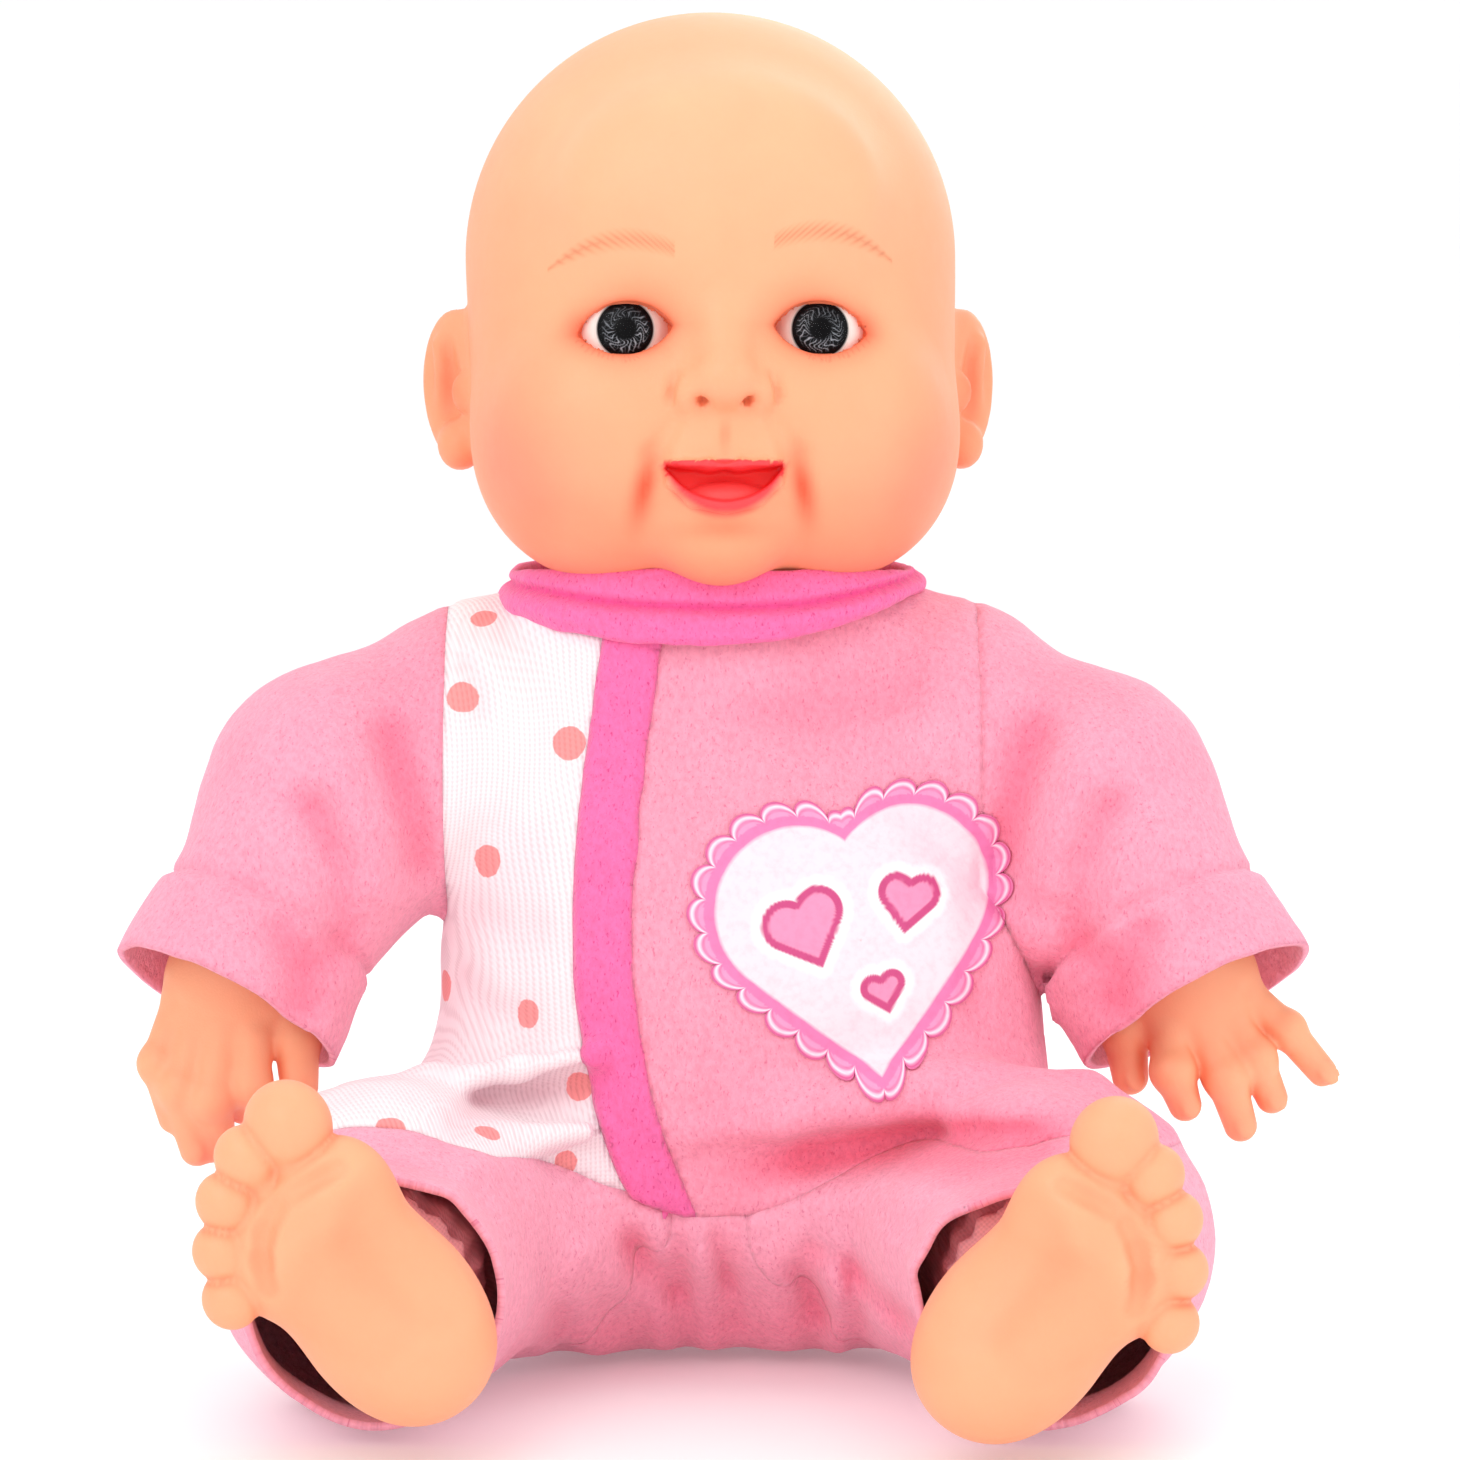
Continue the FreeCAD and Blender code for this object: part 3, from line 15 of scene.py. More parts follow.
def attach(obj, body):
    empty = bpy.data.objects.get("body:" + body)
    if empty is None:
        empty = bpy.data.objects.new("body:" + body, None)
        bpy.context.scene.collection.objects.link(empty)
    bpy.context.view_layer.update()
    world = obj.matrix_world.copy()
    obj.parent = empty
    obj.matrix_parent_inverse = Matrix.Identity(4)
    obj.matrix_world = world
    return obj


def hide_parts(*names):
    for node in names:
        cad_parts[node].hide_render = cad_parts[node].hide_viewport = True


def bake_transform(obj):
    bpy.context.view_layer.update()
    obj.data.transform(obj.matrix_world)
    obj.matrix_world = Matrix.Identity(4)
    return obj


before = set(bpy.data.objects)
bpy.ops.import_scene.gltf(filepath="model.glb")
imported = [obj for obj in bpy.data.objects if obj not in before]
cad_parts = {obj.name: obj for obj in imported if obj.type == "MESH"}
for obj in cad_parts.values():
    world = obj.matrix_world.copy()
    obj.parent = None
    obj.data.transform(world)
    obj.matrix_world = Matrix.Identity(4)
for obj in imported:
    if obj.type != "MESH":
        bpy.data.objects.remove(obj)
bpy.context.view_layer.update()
MM = 0.001
SIDES = {"left": 1, "right": -1}

# ---------------------------------------------------------------- numbers shared by the pieces

HEAD_AT = np.array([0.0, 4.0, 187.0])
HEAD_YAW, HEAD_PITCH = math.radians(3.0), math.radians(-7.0)
EYE = np.array([16.6, -28.3, -9.0])
EYE_RADIUS = 9.5
IRIS_RADIUS = 5.15


def vec(*numbers):
    return np.array(numbers, float)


# ---------------------------------------------------------------- noise


def value_noise(p, size, seed):
    """Smooth random values from -1 to 1, with features of about that size."""
    table = np.random.RandomState(seed).uniform(-1, 1, (32, 32, 32))
    q = p / size
    cell = np.floor(q).astype(int)
    t = q - cell
    t = t * t * t * (t * (t * 6 - 15) + 10)
    total = np.zeros(len(p))
    for corner in np.ndindex(2, 2, 2):
        weight = np.ones(len(p))
        for axis in range(3):
            weight *= t[:, axis] if corner[axis] else 1 - t[:, axis]
        i, j, k = ((cell + corner) % 32).T
        total += weight * table[i, j, k]
    return total


def rough_noise(p, size, seed, octaves=3):
    """Layered noise, each layer half the size and strength of the last."""
    total = np.zeros(len(p))
    for octave in range(octaves):
        total += value_noise(p, size / 2**octave, seed + octave) / 2**octave
    return total


# ---------------------------------------------------------------- fields


def smooth_min(a, b, blend):
    """Union of two fields with a fillet of about that width."""
    near = np.maximum(blend - np.abs(a - b), 0) / blend
    return np.minimum(a, b) - near * near * blend / 4


def smooth_max(a, b, blend):
    return -smooth_min(-a, -b, blend)


def union(fields, blend):
    total = fields[0]
    for field in fields[1:]:
        total = smooth_min(total, field, blend)
    return total


def ball(p, centre, radius):
    return np.linalg.norm(p - centre, axis=1) - radius


def egg(p, centre, radii, turn=None):
    """An ellipsoid. turn is a 3 by 3 rotation of its own axes."""
    q = p - centre
    if turn is not None:
        q = q @ turn
    near = np.linalg.norm(q / radii, axis=1)
    steep = np.linalg.norm(q / np.square(radii), axis=1)
    return near * (near - 1) / np.maximum(steep, 1e-6)


def rod(p, start, end, radius, end_radius=None):
    """A rounded rod, straight, whose radius may change along it."""
    end_radius = radius if end_radius is None else end_radius
    along = end - start
    t = np.clip((p - start) @ along / (along @ along), 0, 1)
    return np.linalg.norm(p - start - t[:, None] * along, axis=1) - radius - t * (end_radius - radius)


def chain(p, points, radii, blend):
    """Rods from point to point."""
    pieces = [
        rod(p, points[i], points[i + 1], radii[i], radii[i + 1]) for i in range(len(points) - 1)
    ]
    return union(pieces, blend)


def turned(x=0.0, y=0.0, z=0.0):
    """A rotation matrix from degrees about X, then Y, then Z."""
    return np.array(Euler((math.radians(x), math.radians(y), math.radians(z))).to_matrix())


def ring(t, centre, width):
    """A bump of height 1 round a value."""
    return np.exp(-np.square((t - centre) / width))


# ---------------------------------------------------------------- meshes from fields


def sample(field, low, high, step):
    """Field values on a grid, worked out only in the blocks that the surface may cross."""
    block = 12
    counts = np.ceil((high - low) / step / block).astype(int)
    size = counts * block + 1
    values = np.empty(size, np.float32)
    centres = np.stack(
        np.meshgrid(*[(np.arange(n) + 0.5) * block * step for n in counts], indexing="ij"), -1
    ).reshape(-1, 3) + low
    rough = field(centres)
    reach = block * step * 0.9 * 1.25
    steps = np.arange(block + 1) * step
    offsets = np.stack(np.meshgrid(steps, steps, steps, indexing="ij"), -1).reshape(-1, 3)

    def spot(index):
        i, j, k = np.array(np.unravel_index(index, counts)) * block
        return np.s_[i : i + block + 1, j : j + block + 1, k : k + block + 1]

    for index in np.flatnonzero(np.abs(rough) > reach):
        values[spot(index)] = rough[index]
    near = np.flatnonzero(np.abs(rough) <= reach)
    for start in range(0, len(near), 48):
        some = near[start : start + 48]
        corners = centres[some] - block * step / 2
        found = field((corners[:, None] + offsets[None]).reshape(-1, 3))
        found = found.reshape(len(some), block + 1, block + 1, block + 1)
        for index, piece in zip(some, found):
            values[spot(index)] = piece
    return values


def surface_net(values, low, step):
    """Vertices and quads of the surface where the grid's values change sign."""
    inside = values < 0
    shape = np.array(values.shape) - 1
    corner_sum = np.zeros(shape, np.int8)
    for di, dj, dk in np.ndindex(2, 2, 2):
        corner_sum += inside[di : di + shape[0], dj : dj + shape[1], dk : dk + shape[2]]
    cells = np.argwhere((corner_sum > 0) & (corner_sum < 8))
    numbers = -np.ones(shape, np.int64)
    numbers[tuple(cells.T)] = np.arange(len(cells))
    total = np.zeros((len(cells), 3))
    crossings = np.zeros(len(cells))
    for axis in range(3):
        ahead = np.eye(3, dtype=int)[axis]
        others = [a for a in range(3) if a != axis]
        for u, v in np.ndindex(2, 2):
            shift = np.zeros(3, int)
            shift[others[0]], shift[others[1]] = u, v
            start = cells + shift
            a = values[tuple(start.T)]
            b = values[tuple((start + ahead).T)]
            crosses = (a < 0) != (b < 0)
            t = np.where(crosses, a / np.where(crosses, a - b, 1), 0)
            spot = shift + t[:, None] * ahead
            total += np.where(crosses[:, None], spot, 0)
            crossings += crosses
    points = (cells + total / crossings[:, None]) * step + low
    quads = []
    for axis in range(3):
        ahead = np.eye(3, dtype=int)[axis]
        others = [a for a in range(3) if a != axis]
        keep = [slice(1, -1)] * 3
        keep[axis] = slice(0, -1)
        after = [slice(1, -1)] * 3
        after[axis] = slice(1, None)
        a, b = inside[tuple(keep)], inside[tuple(after)]
        first = np.ones(3, int)
        first[axis] = 0
        for flip in (False, True):
            starts = np.argwhere((a & ~b) if flip else (~a & b)) + first
            square = []
            for u, v in ((0, 0), (1, 0), (1, 1), (0, 1)):
                back = np.zeros(3, int)
                back[others[0]], back[others[1]] = u - 1, v - 1
                square.append(numbers[tuple((starts + back).T)])
            square = np.stack(square, 1)
            quads.append(square[:, ::-1] if flip == (axis == 1) else square)
    return points, np.concatenate(quads)


def slope(field, p, reach=0.05):
    """The field's gradient by differences."""
    found = np.empty_like(p)
    for axis in range(3):
        step = np.zeros(3)
        step[axis] = reach
        found[:, axis] = (field(p + step) - field(p - step)) / (2 * reach)
    return found


def settle(field, p, step, rounds=3):
    """Moves points onto the surface."""
    for _ in range(rounds):
        g = slope(field, p)
        size = np.maximum(np.sum(g * g, axis=1), 0.05)
        move = np.clip(field(p) / size, -step / 2, step / 2)
        p = p - g * move[:, None]
    return p


def solid_from(field, low, high, step):
    """Points, outward quads of a field's surface, in millimetres."""
    step = step * 1.0
    low, high = np.array(low, float), np.array(high, float)
    points, quads = surface_net(sample(field, low, high, step), low, step)
    return settle(field, points, step), quads


def make_object(name, points, faces, smooth=True):
    """A Blender object from millimetres."""
    mesh = bpy.data.meshes.new(name)
    mesh.from_pydata([], [], [])
    points = np.asarray(points, float) * MM
    mesh.vertices.add(len(points))
    mesh.vertices.foreach_set("co", points.astype(np.float32).ravel())
    sides = faces.shape[1]
    mesh.loops.add(faces.size)
    mesh.loops.foreach_set("vertex_index", faces.astype(np.int32).ravel())
    mesh.polygons.add(len(faces))
    mesh.polygons.foreach_set("loop_start", np.arange(0, faces.size, sides, dtype=np.int32))
    mesh.update(calc_edges=True)
    mesh.validate()
    mesh.shade_smooth() if smooth else mesh.shade_flat()
    made = bpy.data.objects.new(name, mesh)
    bpy.context.scene.collection.objects.link(made)
    return made


def paint(obj, colours, name="paint"):
    """Stores one linear colour per vertex."""
    layer = obj.data.color_attributes.new(name, "FLOAT_COLOR", "POINT")
    rgba = np.ones((len(colours), 4), np.float32)
    rgba[:, :3] = colours
    layer.data.foreach_set("color", rgba.ravel())


def linear(r, g, b):
    """A linear colour from screen values of 0 to 255."""
    c = np.array([r, g, b], float) / 255
    return np.where(c <= 0.04045, c / 12.92, ((c + 0.055) / 1.055) ** 2.4)


def mix(base, colour, amount):
    """Mixes a colour into an array of colours."""
    amount = np.clip(amount, 0, 1)[:, None]
    return base * (1 - amount) + colour * amount


# ---------------------------------------------------------------- materials


def new_material(name, roughness=0.5, **sockets):
    """A material whose Principled shader has these fixed values."""
    made = bpy.data.materials.new(name)
    made.use_nodes = True
    shader = made.node_tree.nodes["Principled BSDF"]
    shader.inputs["Roughness"].default_value = roughness
    for socket, number in sockets.items():
        shader.inputs[socket.replace("_", " ")].default_value = number
    return made, made.node_tree, shader


def node(tree, kind, links=(), **settings):
    """Adds a node, sets it, and feeds its inputs."""
    made = tree.nodes.new("ShaderNode" + kind)
    for name, setting in settings.items():
        setattr(made, name, setting)
    for socket, source in dict(links).items():
        if isinstance(source, bpy.types.NodeSocket):
            tree.links.new(source, made.inputs[socket])
        else:
            made.inputs[socket].default_value = source
    return made


def noise(tree, scale, detail=3.0, roughness=0.55, stretch=None):
    """Noise in object space, in features per metre."""
    place = node(tree, "TexCoord").outputs["Object"]
    if stretch:
        place = node(tree, "Mapping", {"Vector": place, "Scale": stretch}).outputs["Vector"]
    return node(
        tree, "TexNoise", {"Vector": place, "Scale": scale, "Detail": detail, "Roughness": roughness}
    ).outputs["Fac"]


def ramp(tree, source, stops, interpolation="LINEAR"):
    """Turns a number into a colour through a list of (place, colour)."""
    made = node(tree, "ValToRGB", {"Fac": source})
    made.color_ramp.interpolation = interpolation
    while len(made.color_ramp.elements) < len(stops):
        made.color_ramp.elements.new(0.5)
    for element, (place, colour) in zip(made.color_ramp.elements, stops):
        element.position = place
        element.color = (*colour, 1.0)
    return made.outputs["Color"]


def multiply(tree, a, b, amount=1.0):
    """One colour darkened by another."""
    return node(
        tree, "MixRGB", {"Fac": amount, "Color1": a, "Color2": b}, blend_type="MULTIPLY"
    ).outputs["Color"]


def painted(tree, name="paint"):
    return node(tree, "VertexColor", layer_name=name).outputs["Color"]


def bump(tree, shader, height, distance, strength=1.0):
    made = node(tree, "Bump", {"Height": height, "Distance": distance, "Strength": strength})
    tree.links.new(made.outputs["Normal"], shader.inputs["Normal"])


def vinyl(name):
    """Soft satin vinyl with a faint grain, coloured by the paint on each point."""
    made, tree, shader = new_material(name, 0.42, Subsurface_Weight=0.12, Subsurface_Scale=0.004)
    shader.inputs["Subsurface Radius"].default_value = (1.0, 0.35, 0.2)
    mottle = ramp(tree, noise(tree, 90, 4), [(0.3, (0.96, 0.95, 0.95)), (0.7, (1.0, 1.0, 1.0))])
    tree.links.new(multiply(tree, painted(tree), mottle), shader.inputs["Base Color"])
    gloss = node(
        tree, "MapRange", {"Value": noise(tree, 400, 2), "To Min": 0.44, "To Max": 0.56}
    ).outputs["Result"]
    tree.links.new(gloss, shader.inputs["Roughness"])
    bump(tree, shader, noise(tree, 2600, 2), 0.00004)
    return made


# ---------------------------------------------------------------- head

PEACH = linear(255, 175, 132)
# painted highlight: a lighter peach where light falls on the vinyl
PEACH_PAINTED_HIGHLIGHT = linear(255, 191, 149)
# painted shade: a deeper peach in hollows and on parts turned from the light
PEACH_PAINTED_SHADE = linear(248, 128, 88)
BLUSH = linear(250, 122, 104)
# painted shade: red-orange in creases and recesses
CREASE_PAINTED_SHADE = linear(238, 84, 44)
LIP_RED = linear(244, 64, 70)
MOUTH_RED = linear(255, 30, 24)
TONGUE_PINK = linear(250, 96, 96)
BROW_BROWN = linear(206, 104, 58)

HEAD_TURN = np.array((Matrix.Rotation(HEAD_YAW, 3, "Z") @ Matrix.Rotation(HEAD_PITCH, 3, "X")))

MOUTH_HALF, MOUTH_Z = 10.1, -32.4
MOUTH_TOP, MOUTH_FLOOR, LIP_EDGE = -33.3, -38.6, -40.9


def head_to_row(p):
    """From the head's own axes to the row frame."""
    return p @ HEAD_TURN.T + HEAD_AT


def row_to_head(p):
    return (p - HEAD_AT) @ HEAD_TURN


def arc_through(half, edge, middle):
    """Radius and centre height of the circle through (+-half, edge) and (0, middle)."""
    rise = abs(edge - middle)
    radius = (half * half + rise * rise) / (2 * rise)
    return radius, middle + math.copysign(radius, edge - middle)


def in_arc(x, z, half, edge, middle):
    """Distance outside the circle through those points."""
    radius, centre = arc_through(half, edge, middle)
    return np.hypot(x, z - centre) - radius


def mouth_gap(x, z):
    """Negative between the upper lip's lower edge and the lower lip's inner edge."""
    below = in_arc(x, z, MOUTH_HALF, MOUTH_Z, MOUTH_FLOOR)
    above = -in_arc(x, z, MOUTH_HALF, MOUTH_Z, MOUTH_TOP)
    bow = 0.2 * (ring(np.abs(x), 2.6, 1.4) - ring(x, 0, 1.1))
    return np.maximum(below, above + bow)


def eye_gap(x, z):
    """Negative between the lids of an eye. x runs outwards from its centre."""
    upper = np.hypot(x + 0.3, z + 4.5) - 9.2
    lower = np.hypot(x - 0.4, z - 5.4) - 9.9
    return np.maximum(upper, lower)


def head_base(q, x):
    """Skull, brow, cheeks, jaw and chin, with no features."""
    skull = egg(q, vec(0, 4.5, 8), vec(43.4, 46, 43.2))
    jaw = egg(q, vec(0, -6, -21), vec(40.5, 34.5, 30))
    base = smooth_min(skull, jaw, 16)
    side = np.stack([x, q[:, 1], q[:, 2]], 1)
    base = smooth_min(base, egg(side, vec(20.5, -12, -29), vec(20.5, 23.5, 20.5)), 9)
    base = smooth_min(base, egg(side, vec(22, -26, -23), vec(13, 12, 12)), 9)
    base = smooth_min(base, egg(q, vec(0, -28.5, -32), vec(13.5, 12.5, 11)), 7)
    base = smooth_min(base, egg(q, vec(0, -26.5, -43.5), vec(10.5, 11, 8.6)), 5)
    return smooth_min(base, egg(q, vec(0, -33, 16), vec(24, 10, 16)), 12)


def ear_field(side):
    """The outer ear, in the head's axes with x outwards."""
    centre = vec(44.6, 8.5, -14.5)
    turn = turned(x=-8, z=-38)
    plate = egg(side, centre, vec(4.4, 8.6, 14.0), turn)
    dish = egg(side, centre + vec(4.4, -2.2, 0.8), vec(3.6, 5.6, 10.2), turn)
    bowl = egg(side, centre + vec(2.4, -4.0, -2.4), vec(3.4, 3.4, 5.0), turn)
    fold = rod(side, centre + vec(3.3, -0.6, 7.6), centre + vec(2.2, 1.6, -5.5), 1.5)
    lobe = egg(side, centre + vec(0.2, -2.8, -10.6), vec(3.6, 4.2, 4.2))
    ear = smooth_max(plate, -dish, 1.8)
    ear = smooth_min(ear, fold, 2.2)
    ear = smooth_max(ear, -bowl, 1.6)
    ear = smooth_min(ear, lobe, 2.5)
    flap = egg(side, centre + vec(-0.6, -7.4, -1.6), vec(2.0, 2.0, 3.2))
    return smooth_min(ear, flap, 2.0)


def tongue_field(q):
    return egg(q, vec(0.3, -36.2, -38.0), vec(7.4, 4.6, 3.0))


def head_field(q):
    """The whole head in its own axes."""
    x = np.abs(q[:, 0])
    y, z = q[:, 1], q[:, 2]
    side = np.stack([x, y, z], 1)
    head = head_base(q, x)
    head = smooth_max(head, -egg(side, vec(17.0, -46.2, -8.2), vec(11.0, 7.4, 6.6)), 6)
    lids = ball(side, EYE, EYE_RADIUS + 0.95)
    head = smooth_min(head, lids, 2.2)
    bag = rod(side, vec(10.5, -37.6, -14.6), vec(21.5, -35.4, -15.2), 1.2)
    head = smooth_min(head, bag, 3.5)
    nose = [
        rod(q, vec(0, -39.5, -7), vec(0, -43.0, -17.5), 3.2, 4.6),
        egg(q, vec(0, -42.4, -18.6), vec(6.0, 4.6, 4.4)),
        egg(side, vec(5.4, -40.6, -20.0), vec(3.3, 3.2, 2.9)),
    ]
    head = smooth_min(head, union(nose, 2.4), 3.4)
    head = smooth_max(head, -rod(side, vec(4.1, -44.4, -22.5), vec(3.6, -42.2, -21.2), 1.0), 1.2)
    head = smooth_max(head, -rod(q, vec(0, -44.1, -25), vec(0, -43.4, -30), 0.9), 1.8)
    wing = rod(side, vec(8.5, -41.8, -17.6), vec(9.0, -40.6, -21.2), 0.55)
    head = smooth_max(head, -wing, 1.8)
    head = smooth_min(head, lower_lip(q), 2.4)
    head = smooth_min(head, upper_lip(side), 1.6)
    gap = np.maximum(mouth_gap(q[:, 0], z), y + 36.2)
    head = smooth_max(head, -gap, 0.8)
    head = smooth_min(head, tongue_field(q), 0.8)
    smile = chain(side, [vec(12.4, -40.4, -31.6), vec(13.6, -39.2, -37), vec(15.2, -36.6, -43)],
                  [1.6, 1.4, 0.5], 1)
    head = smooth_max(head, -smile, 2.8)
    corner = rod(side, vec(8.6, -40.9, -25), vec(11.8, -39.8, -31), 0.6, 1.0)
    head = smooth_max(head, -corner, 2.6)
    dip = rod(side, vec(0, -42.0, -43.6), vec(6.5, -40.4, -43.2), 1.3)
    head = smooth_max(head, -dip, 3.2)
    jowl = chain(side, [vec(8.5, -33.2, -50.2), vec(15, -31.5, -48.0), vec(22, -30.0, -46.8)],
                 [0.9, 0.8, 0.4], 1)
    head = smooth_max(head, -jowl, 2.4)
    head = smooth_min(head, ear_field(side), 2.6)
    floor = EYE_RADIUS - 0.35 - np.linalg.norm(side - EYE, axis=1)
    opening = np.maximum(np.maximum(eye_gap(x - EYE[0], z - EYE[2]), floor), y + 26)
    head = smooth_max(head, -opening, 0.5)
    neck = np.maximum(np.hypot(q[:, 0], y - 4) - 14.5, np.abs(z + 50) - 14)
    return smooth_min(head, neck, 3)


def lip_path(t, drop):
    """A point of a lip from the middle (0) to the corner (1)."""
    x = MOUTH_HALF * np.sin(t * math.pi / 2)
    z = MOUTH_Z + (drop - MOUTH_Z) * np.cos(t * math.pi / 2) ** 1.2
    y = -41.6 + 3.2 * t**2
    return vec(x, y, z)


def lower_lip(q):
    side = np.stack([np.abs(q[:, 0]), q[:, 1], q[:, 2]], 1)
    middle = (MOUTH_FLOOR + LIP_EDGE) / 2
    points = [lip_path(t, middle) for t in (0, 0.35, 0.7, 1)]
    return chain(side, points, [1.55, 1.35, 0.9, 0.4], 1)


def upper_lip(side):
    points = [vec(0, -42.6, -33.1), vec(2.8, -42.8, -32.4), vec(7.0, -41.3, -32.4),
              vec(10.8, -39.2, -32.4)]
    return chain(side, points, [0.55, 0.65, 0.5, 0.3], 1)


def brow_mask(x, z):
    """Fine painted hairs along an arched line. x is outwards."""
    t = (x - 9.0) / 19.8
    height = 4.0 + 8.6 * t - 10.2 * t * t
    rise = z - height
    thick = 1.75 * np.sqrt(np.clip(1.04 - (2 * t - 0.75) ** 2 / 1.6, 0, 1))
    inside = np.clip(1.2 - np.abs(rise) / np.maximum(thick, 0.05), 0, 1)
    inside *= (t > -0.03) & (t < 1.03)
    hairs = 0.5 + 0.5 * np.sin((x * 0.95 - rise * (1.6 - 0.9 * t)) * 4.6)
    tail = np.exp(-np.square(rise / 0.35)) * ((t > 0.6) & (t < 1.04))
    return np.maximum(inside * (0.34 + 0.66 * hairs**2), 0.7 * tail)


def lash_mask(x, z):
    """Short strokes under the outer half of the lower lid. x is outwards."""
    gap = eye_gap(x, z)
    angle = np.arctan2(z, x)
    under = (z < -1.5) & (x > -2.5)
    strokes = np.clip(1 - np.abs(((angle * 180 / math.pi + 3 * gap) % 7.5) - 3.75) / 1.1, 0, 1)
    return strokes * under * (gap > 0.3) * (gap < 1.3)


def head_colours(q):
    """Painted colours of the head's points, with painted light and painted shade in them."""
    x, y, z = np.abs(q[:, 0]), q[:, 1], q[:, 2]
    front = np.clip((-y - 18) / 12, 0, 1)
    colour = np.tile(PEACH, (len(q), 1))
    # painted light higher on the head, painted shade under the jaw and towards the sides
    colour = mix(colour, PEACH_PAINTED_HIGHLIGHT, 0.5 * np.exp(-np.square((z - 26) / 22)))
    colour = mix(colour, PEACH_PAINTED_SHADE, 0.35 * np.clip((-z - 34) / 18, 0, 1))
    colour = mix(colour, PEACH_PAINTED_SHADE, 0.3 * np.clip((x - 26) / 22, 0, 1))
    cheek = np.exp(-np.square(np.linalg.norm(q - vec(33, -26, -33), axis=1) / 12))
    other = np.exp(-np.square(np.linalg.norm(q - vec(-33, -26, -31), axis=1) / 13))
    colour = mix(colour, BLUSH, 0.42 * cheek + 0.55 * other)
    eye_x, eye_z = x - EYE[0], z - EYE[2]
    gap = eye_gap(eye_x, eye_z)
    # painted shade round the lids, at their edges and in the outer corner
    rim = np.exp(-np.square(np.maximum(gap, 0) / 3.2)) * front
    colour = mix(colour, PEACH_PAINTED_SHADE, 0.5 * rim)
    rim = np.exp(-np.square(np.maximum(gap, 0) / 0.9)) * front
    colour = mix(colour, CREASE_PAINTED_SHADE, 0.5 * rim)
    corner = np.exp(-np.square(np.hypot(eye_x - 7.4, eye_z) / 2.6)) * front
    colour = mix(colour, CREASE_PAINTED_SHADE, 0.55 * corner)
    # painted shade in the fold running down from each mouth corner
    smile = np.abs(x - (12.6 + np.clip(-31.6 - z, 0, 12) * 0.2))
    smile = np.exp(-np.square(smile / 1.9)) * ring(z, -36.0, 5.4) * front
    colour = mix(colour, CREASE_PAINTED_SHADE, 0.95 * smile)
    # painted shade in the crease under the lower lip
    fold = np.exp(-np.square((z + 43.3) / 1.7)) * np.exp(-np.square(x / 7.5)) * front
    colour = mix(colour, PEACH_PAINTED_SHADE, 0.6 * fold)
    # painted shade in the nostrils and in the creases round the nose wings
    nostril = np.exp(-np.square(np.hypot(x - 4.1, z + 22.3) / 1.5)) * (y < -38)
    colour = mix(colour, CREASE_PAINTED_SHADE, 0.3 * nostril)
    wing = np.exp(-np.square(np.hypot(x - 8.9, (z + 19.8) / 2.2) / 1.1)) * front
    colour = mix(colour, PEACH_PAINTED_SHADE, 0.2 * wing)
    # painted shade in the groove under the nose
    groove = np.exp(-np.square(q[:, 0] / 0.8)) * ring(z, -27.6, 2.6) * (y < -38)
    colour = mix(colour, PEACH_PAINTED_SHADE, 0.6 * groove)
    # painted shade round and behind the ear
    ear = np.exp(-np.square((x - 46.5) / 2.0)) * np.exp(-np.square((z + 15) / 7)) * (y > -2)
    colour = mix(colour, PEACH_PAINTED_SHADE, 0.75 * ear)
    mouth = mouth_gap(q[:, 0], z)
    lip = in_arc(q[:, 0], z, MOUTH_HALF + 0.4, MOUTH_Z + 0.3, LIP_EDGE)
    upper = (z > MOUTH_Z - 1.9) & (mouth < 0.95) & (x < MOUTH_HALF)
    lips = np.clip(0.5 - lip / 1.5, 0, 1) * (z < MOUTH_Z + 0.6) + upper * np.clip(1.3 - mouth, 0, 0.75)
    colour = mix(colour, LIP_RED, np.clip(lips, 0, 1) * (y < -34))
    inner = np.clip(0.4 - mouth / 0.5, 0, 1) * (y < -30)
    colour = mix(colour, MOUTH_RED, inner)
    tongue = tongue_field(q) - 0.3
    colour = mix(colour, TONGUE_PINK, np.clip(0.5 - tongue, 0, 1) * inner * 0.8)
    for sign in (-1, 1):
        lift = 1.4 if sign > 0 else 0.0
        mask = brow_mask(sign * q[:, 0], z - lift) * (sign * q[:, 0] > 5) * front
        colour = mix(colour, BROW_BROWN, 0.6 * mask)
    colour = mix(colour, BROW_BROWN * 0.5, 0.4 * lash_mask(eye_x, eye_z) * front)
    return colour


def refine(obj, wanted):
    """Splits the edges whose middles are wanted, in place, with no gaps to their neighbours."""
    work = bmesh.new()
    work.from_mesh(obj.data)
    middles = np.array([(e.verts[0].co + e.verts[1].co) / 2 for e in work.edges]) / MM
    chosen = [e for e, keep in zip(work.edges, wanted(middles)) if keep]
    bmesh.ops.subdivide_edges(work, edges=chosen, cuts=1, use_grid_fill=True)
    work.to_mesh(obj.data)
    work.free()


def read_points(obj):
    """The mesh's points in millimetres."""
    found = np.empty(len(obj.data.vertices) * 3, np.float32)
    obj.data.vertices.foreach_get("co", found)
    return found.reshape(-1, 3).astype(float) / MM


def write_points(obj, points):
    obj.data.vertices.foreach_set("co", (points * MM).astype(np.float32).ravel())
    obj.data.update()


def brow_zone(c):
    """Where the brows are painted, on both sides."""
    x, z = np.abs(c[:, 0]), c[:, 2]
    height = 4.6 + 8.6 * (x - 9.0) / 19.8 - 10.2 * ((x - 9.0) / 19.8) ** 2
    return (c[:, 1] < -26) & (x > 7) & (x < 31) & (np.abs(z - height) < 3.6)


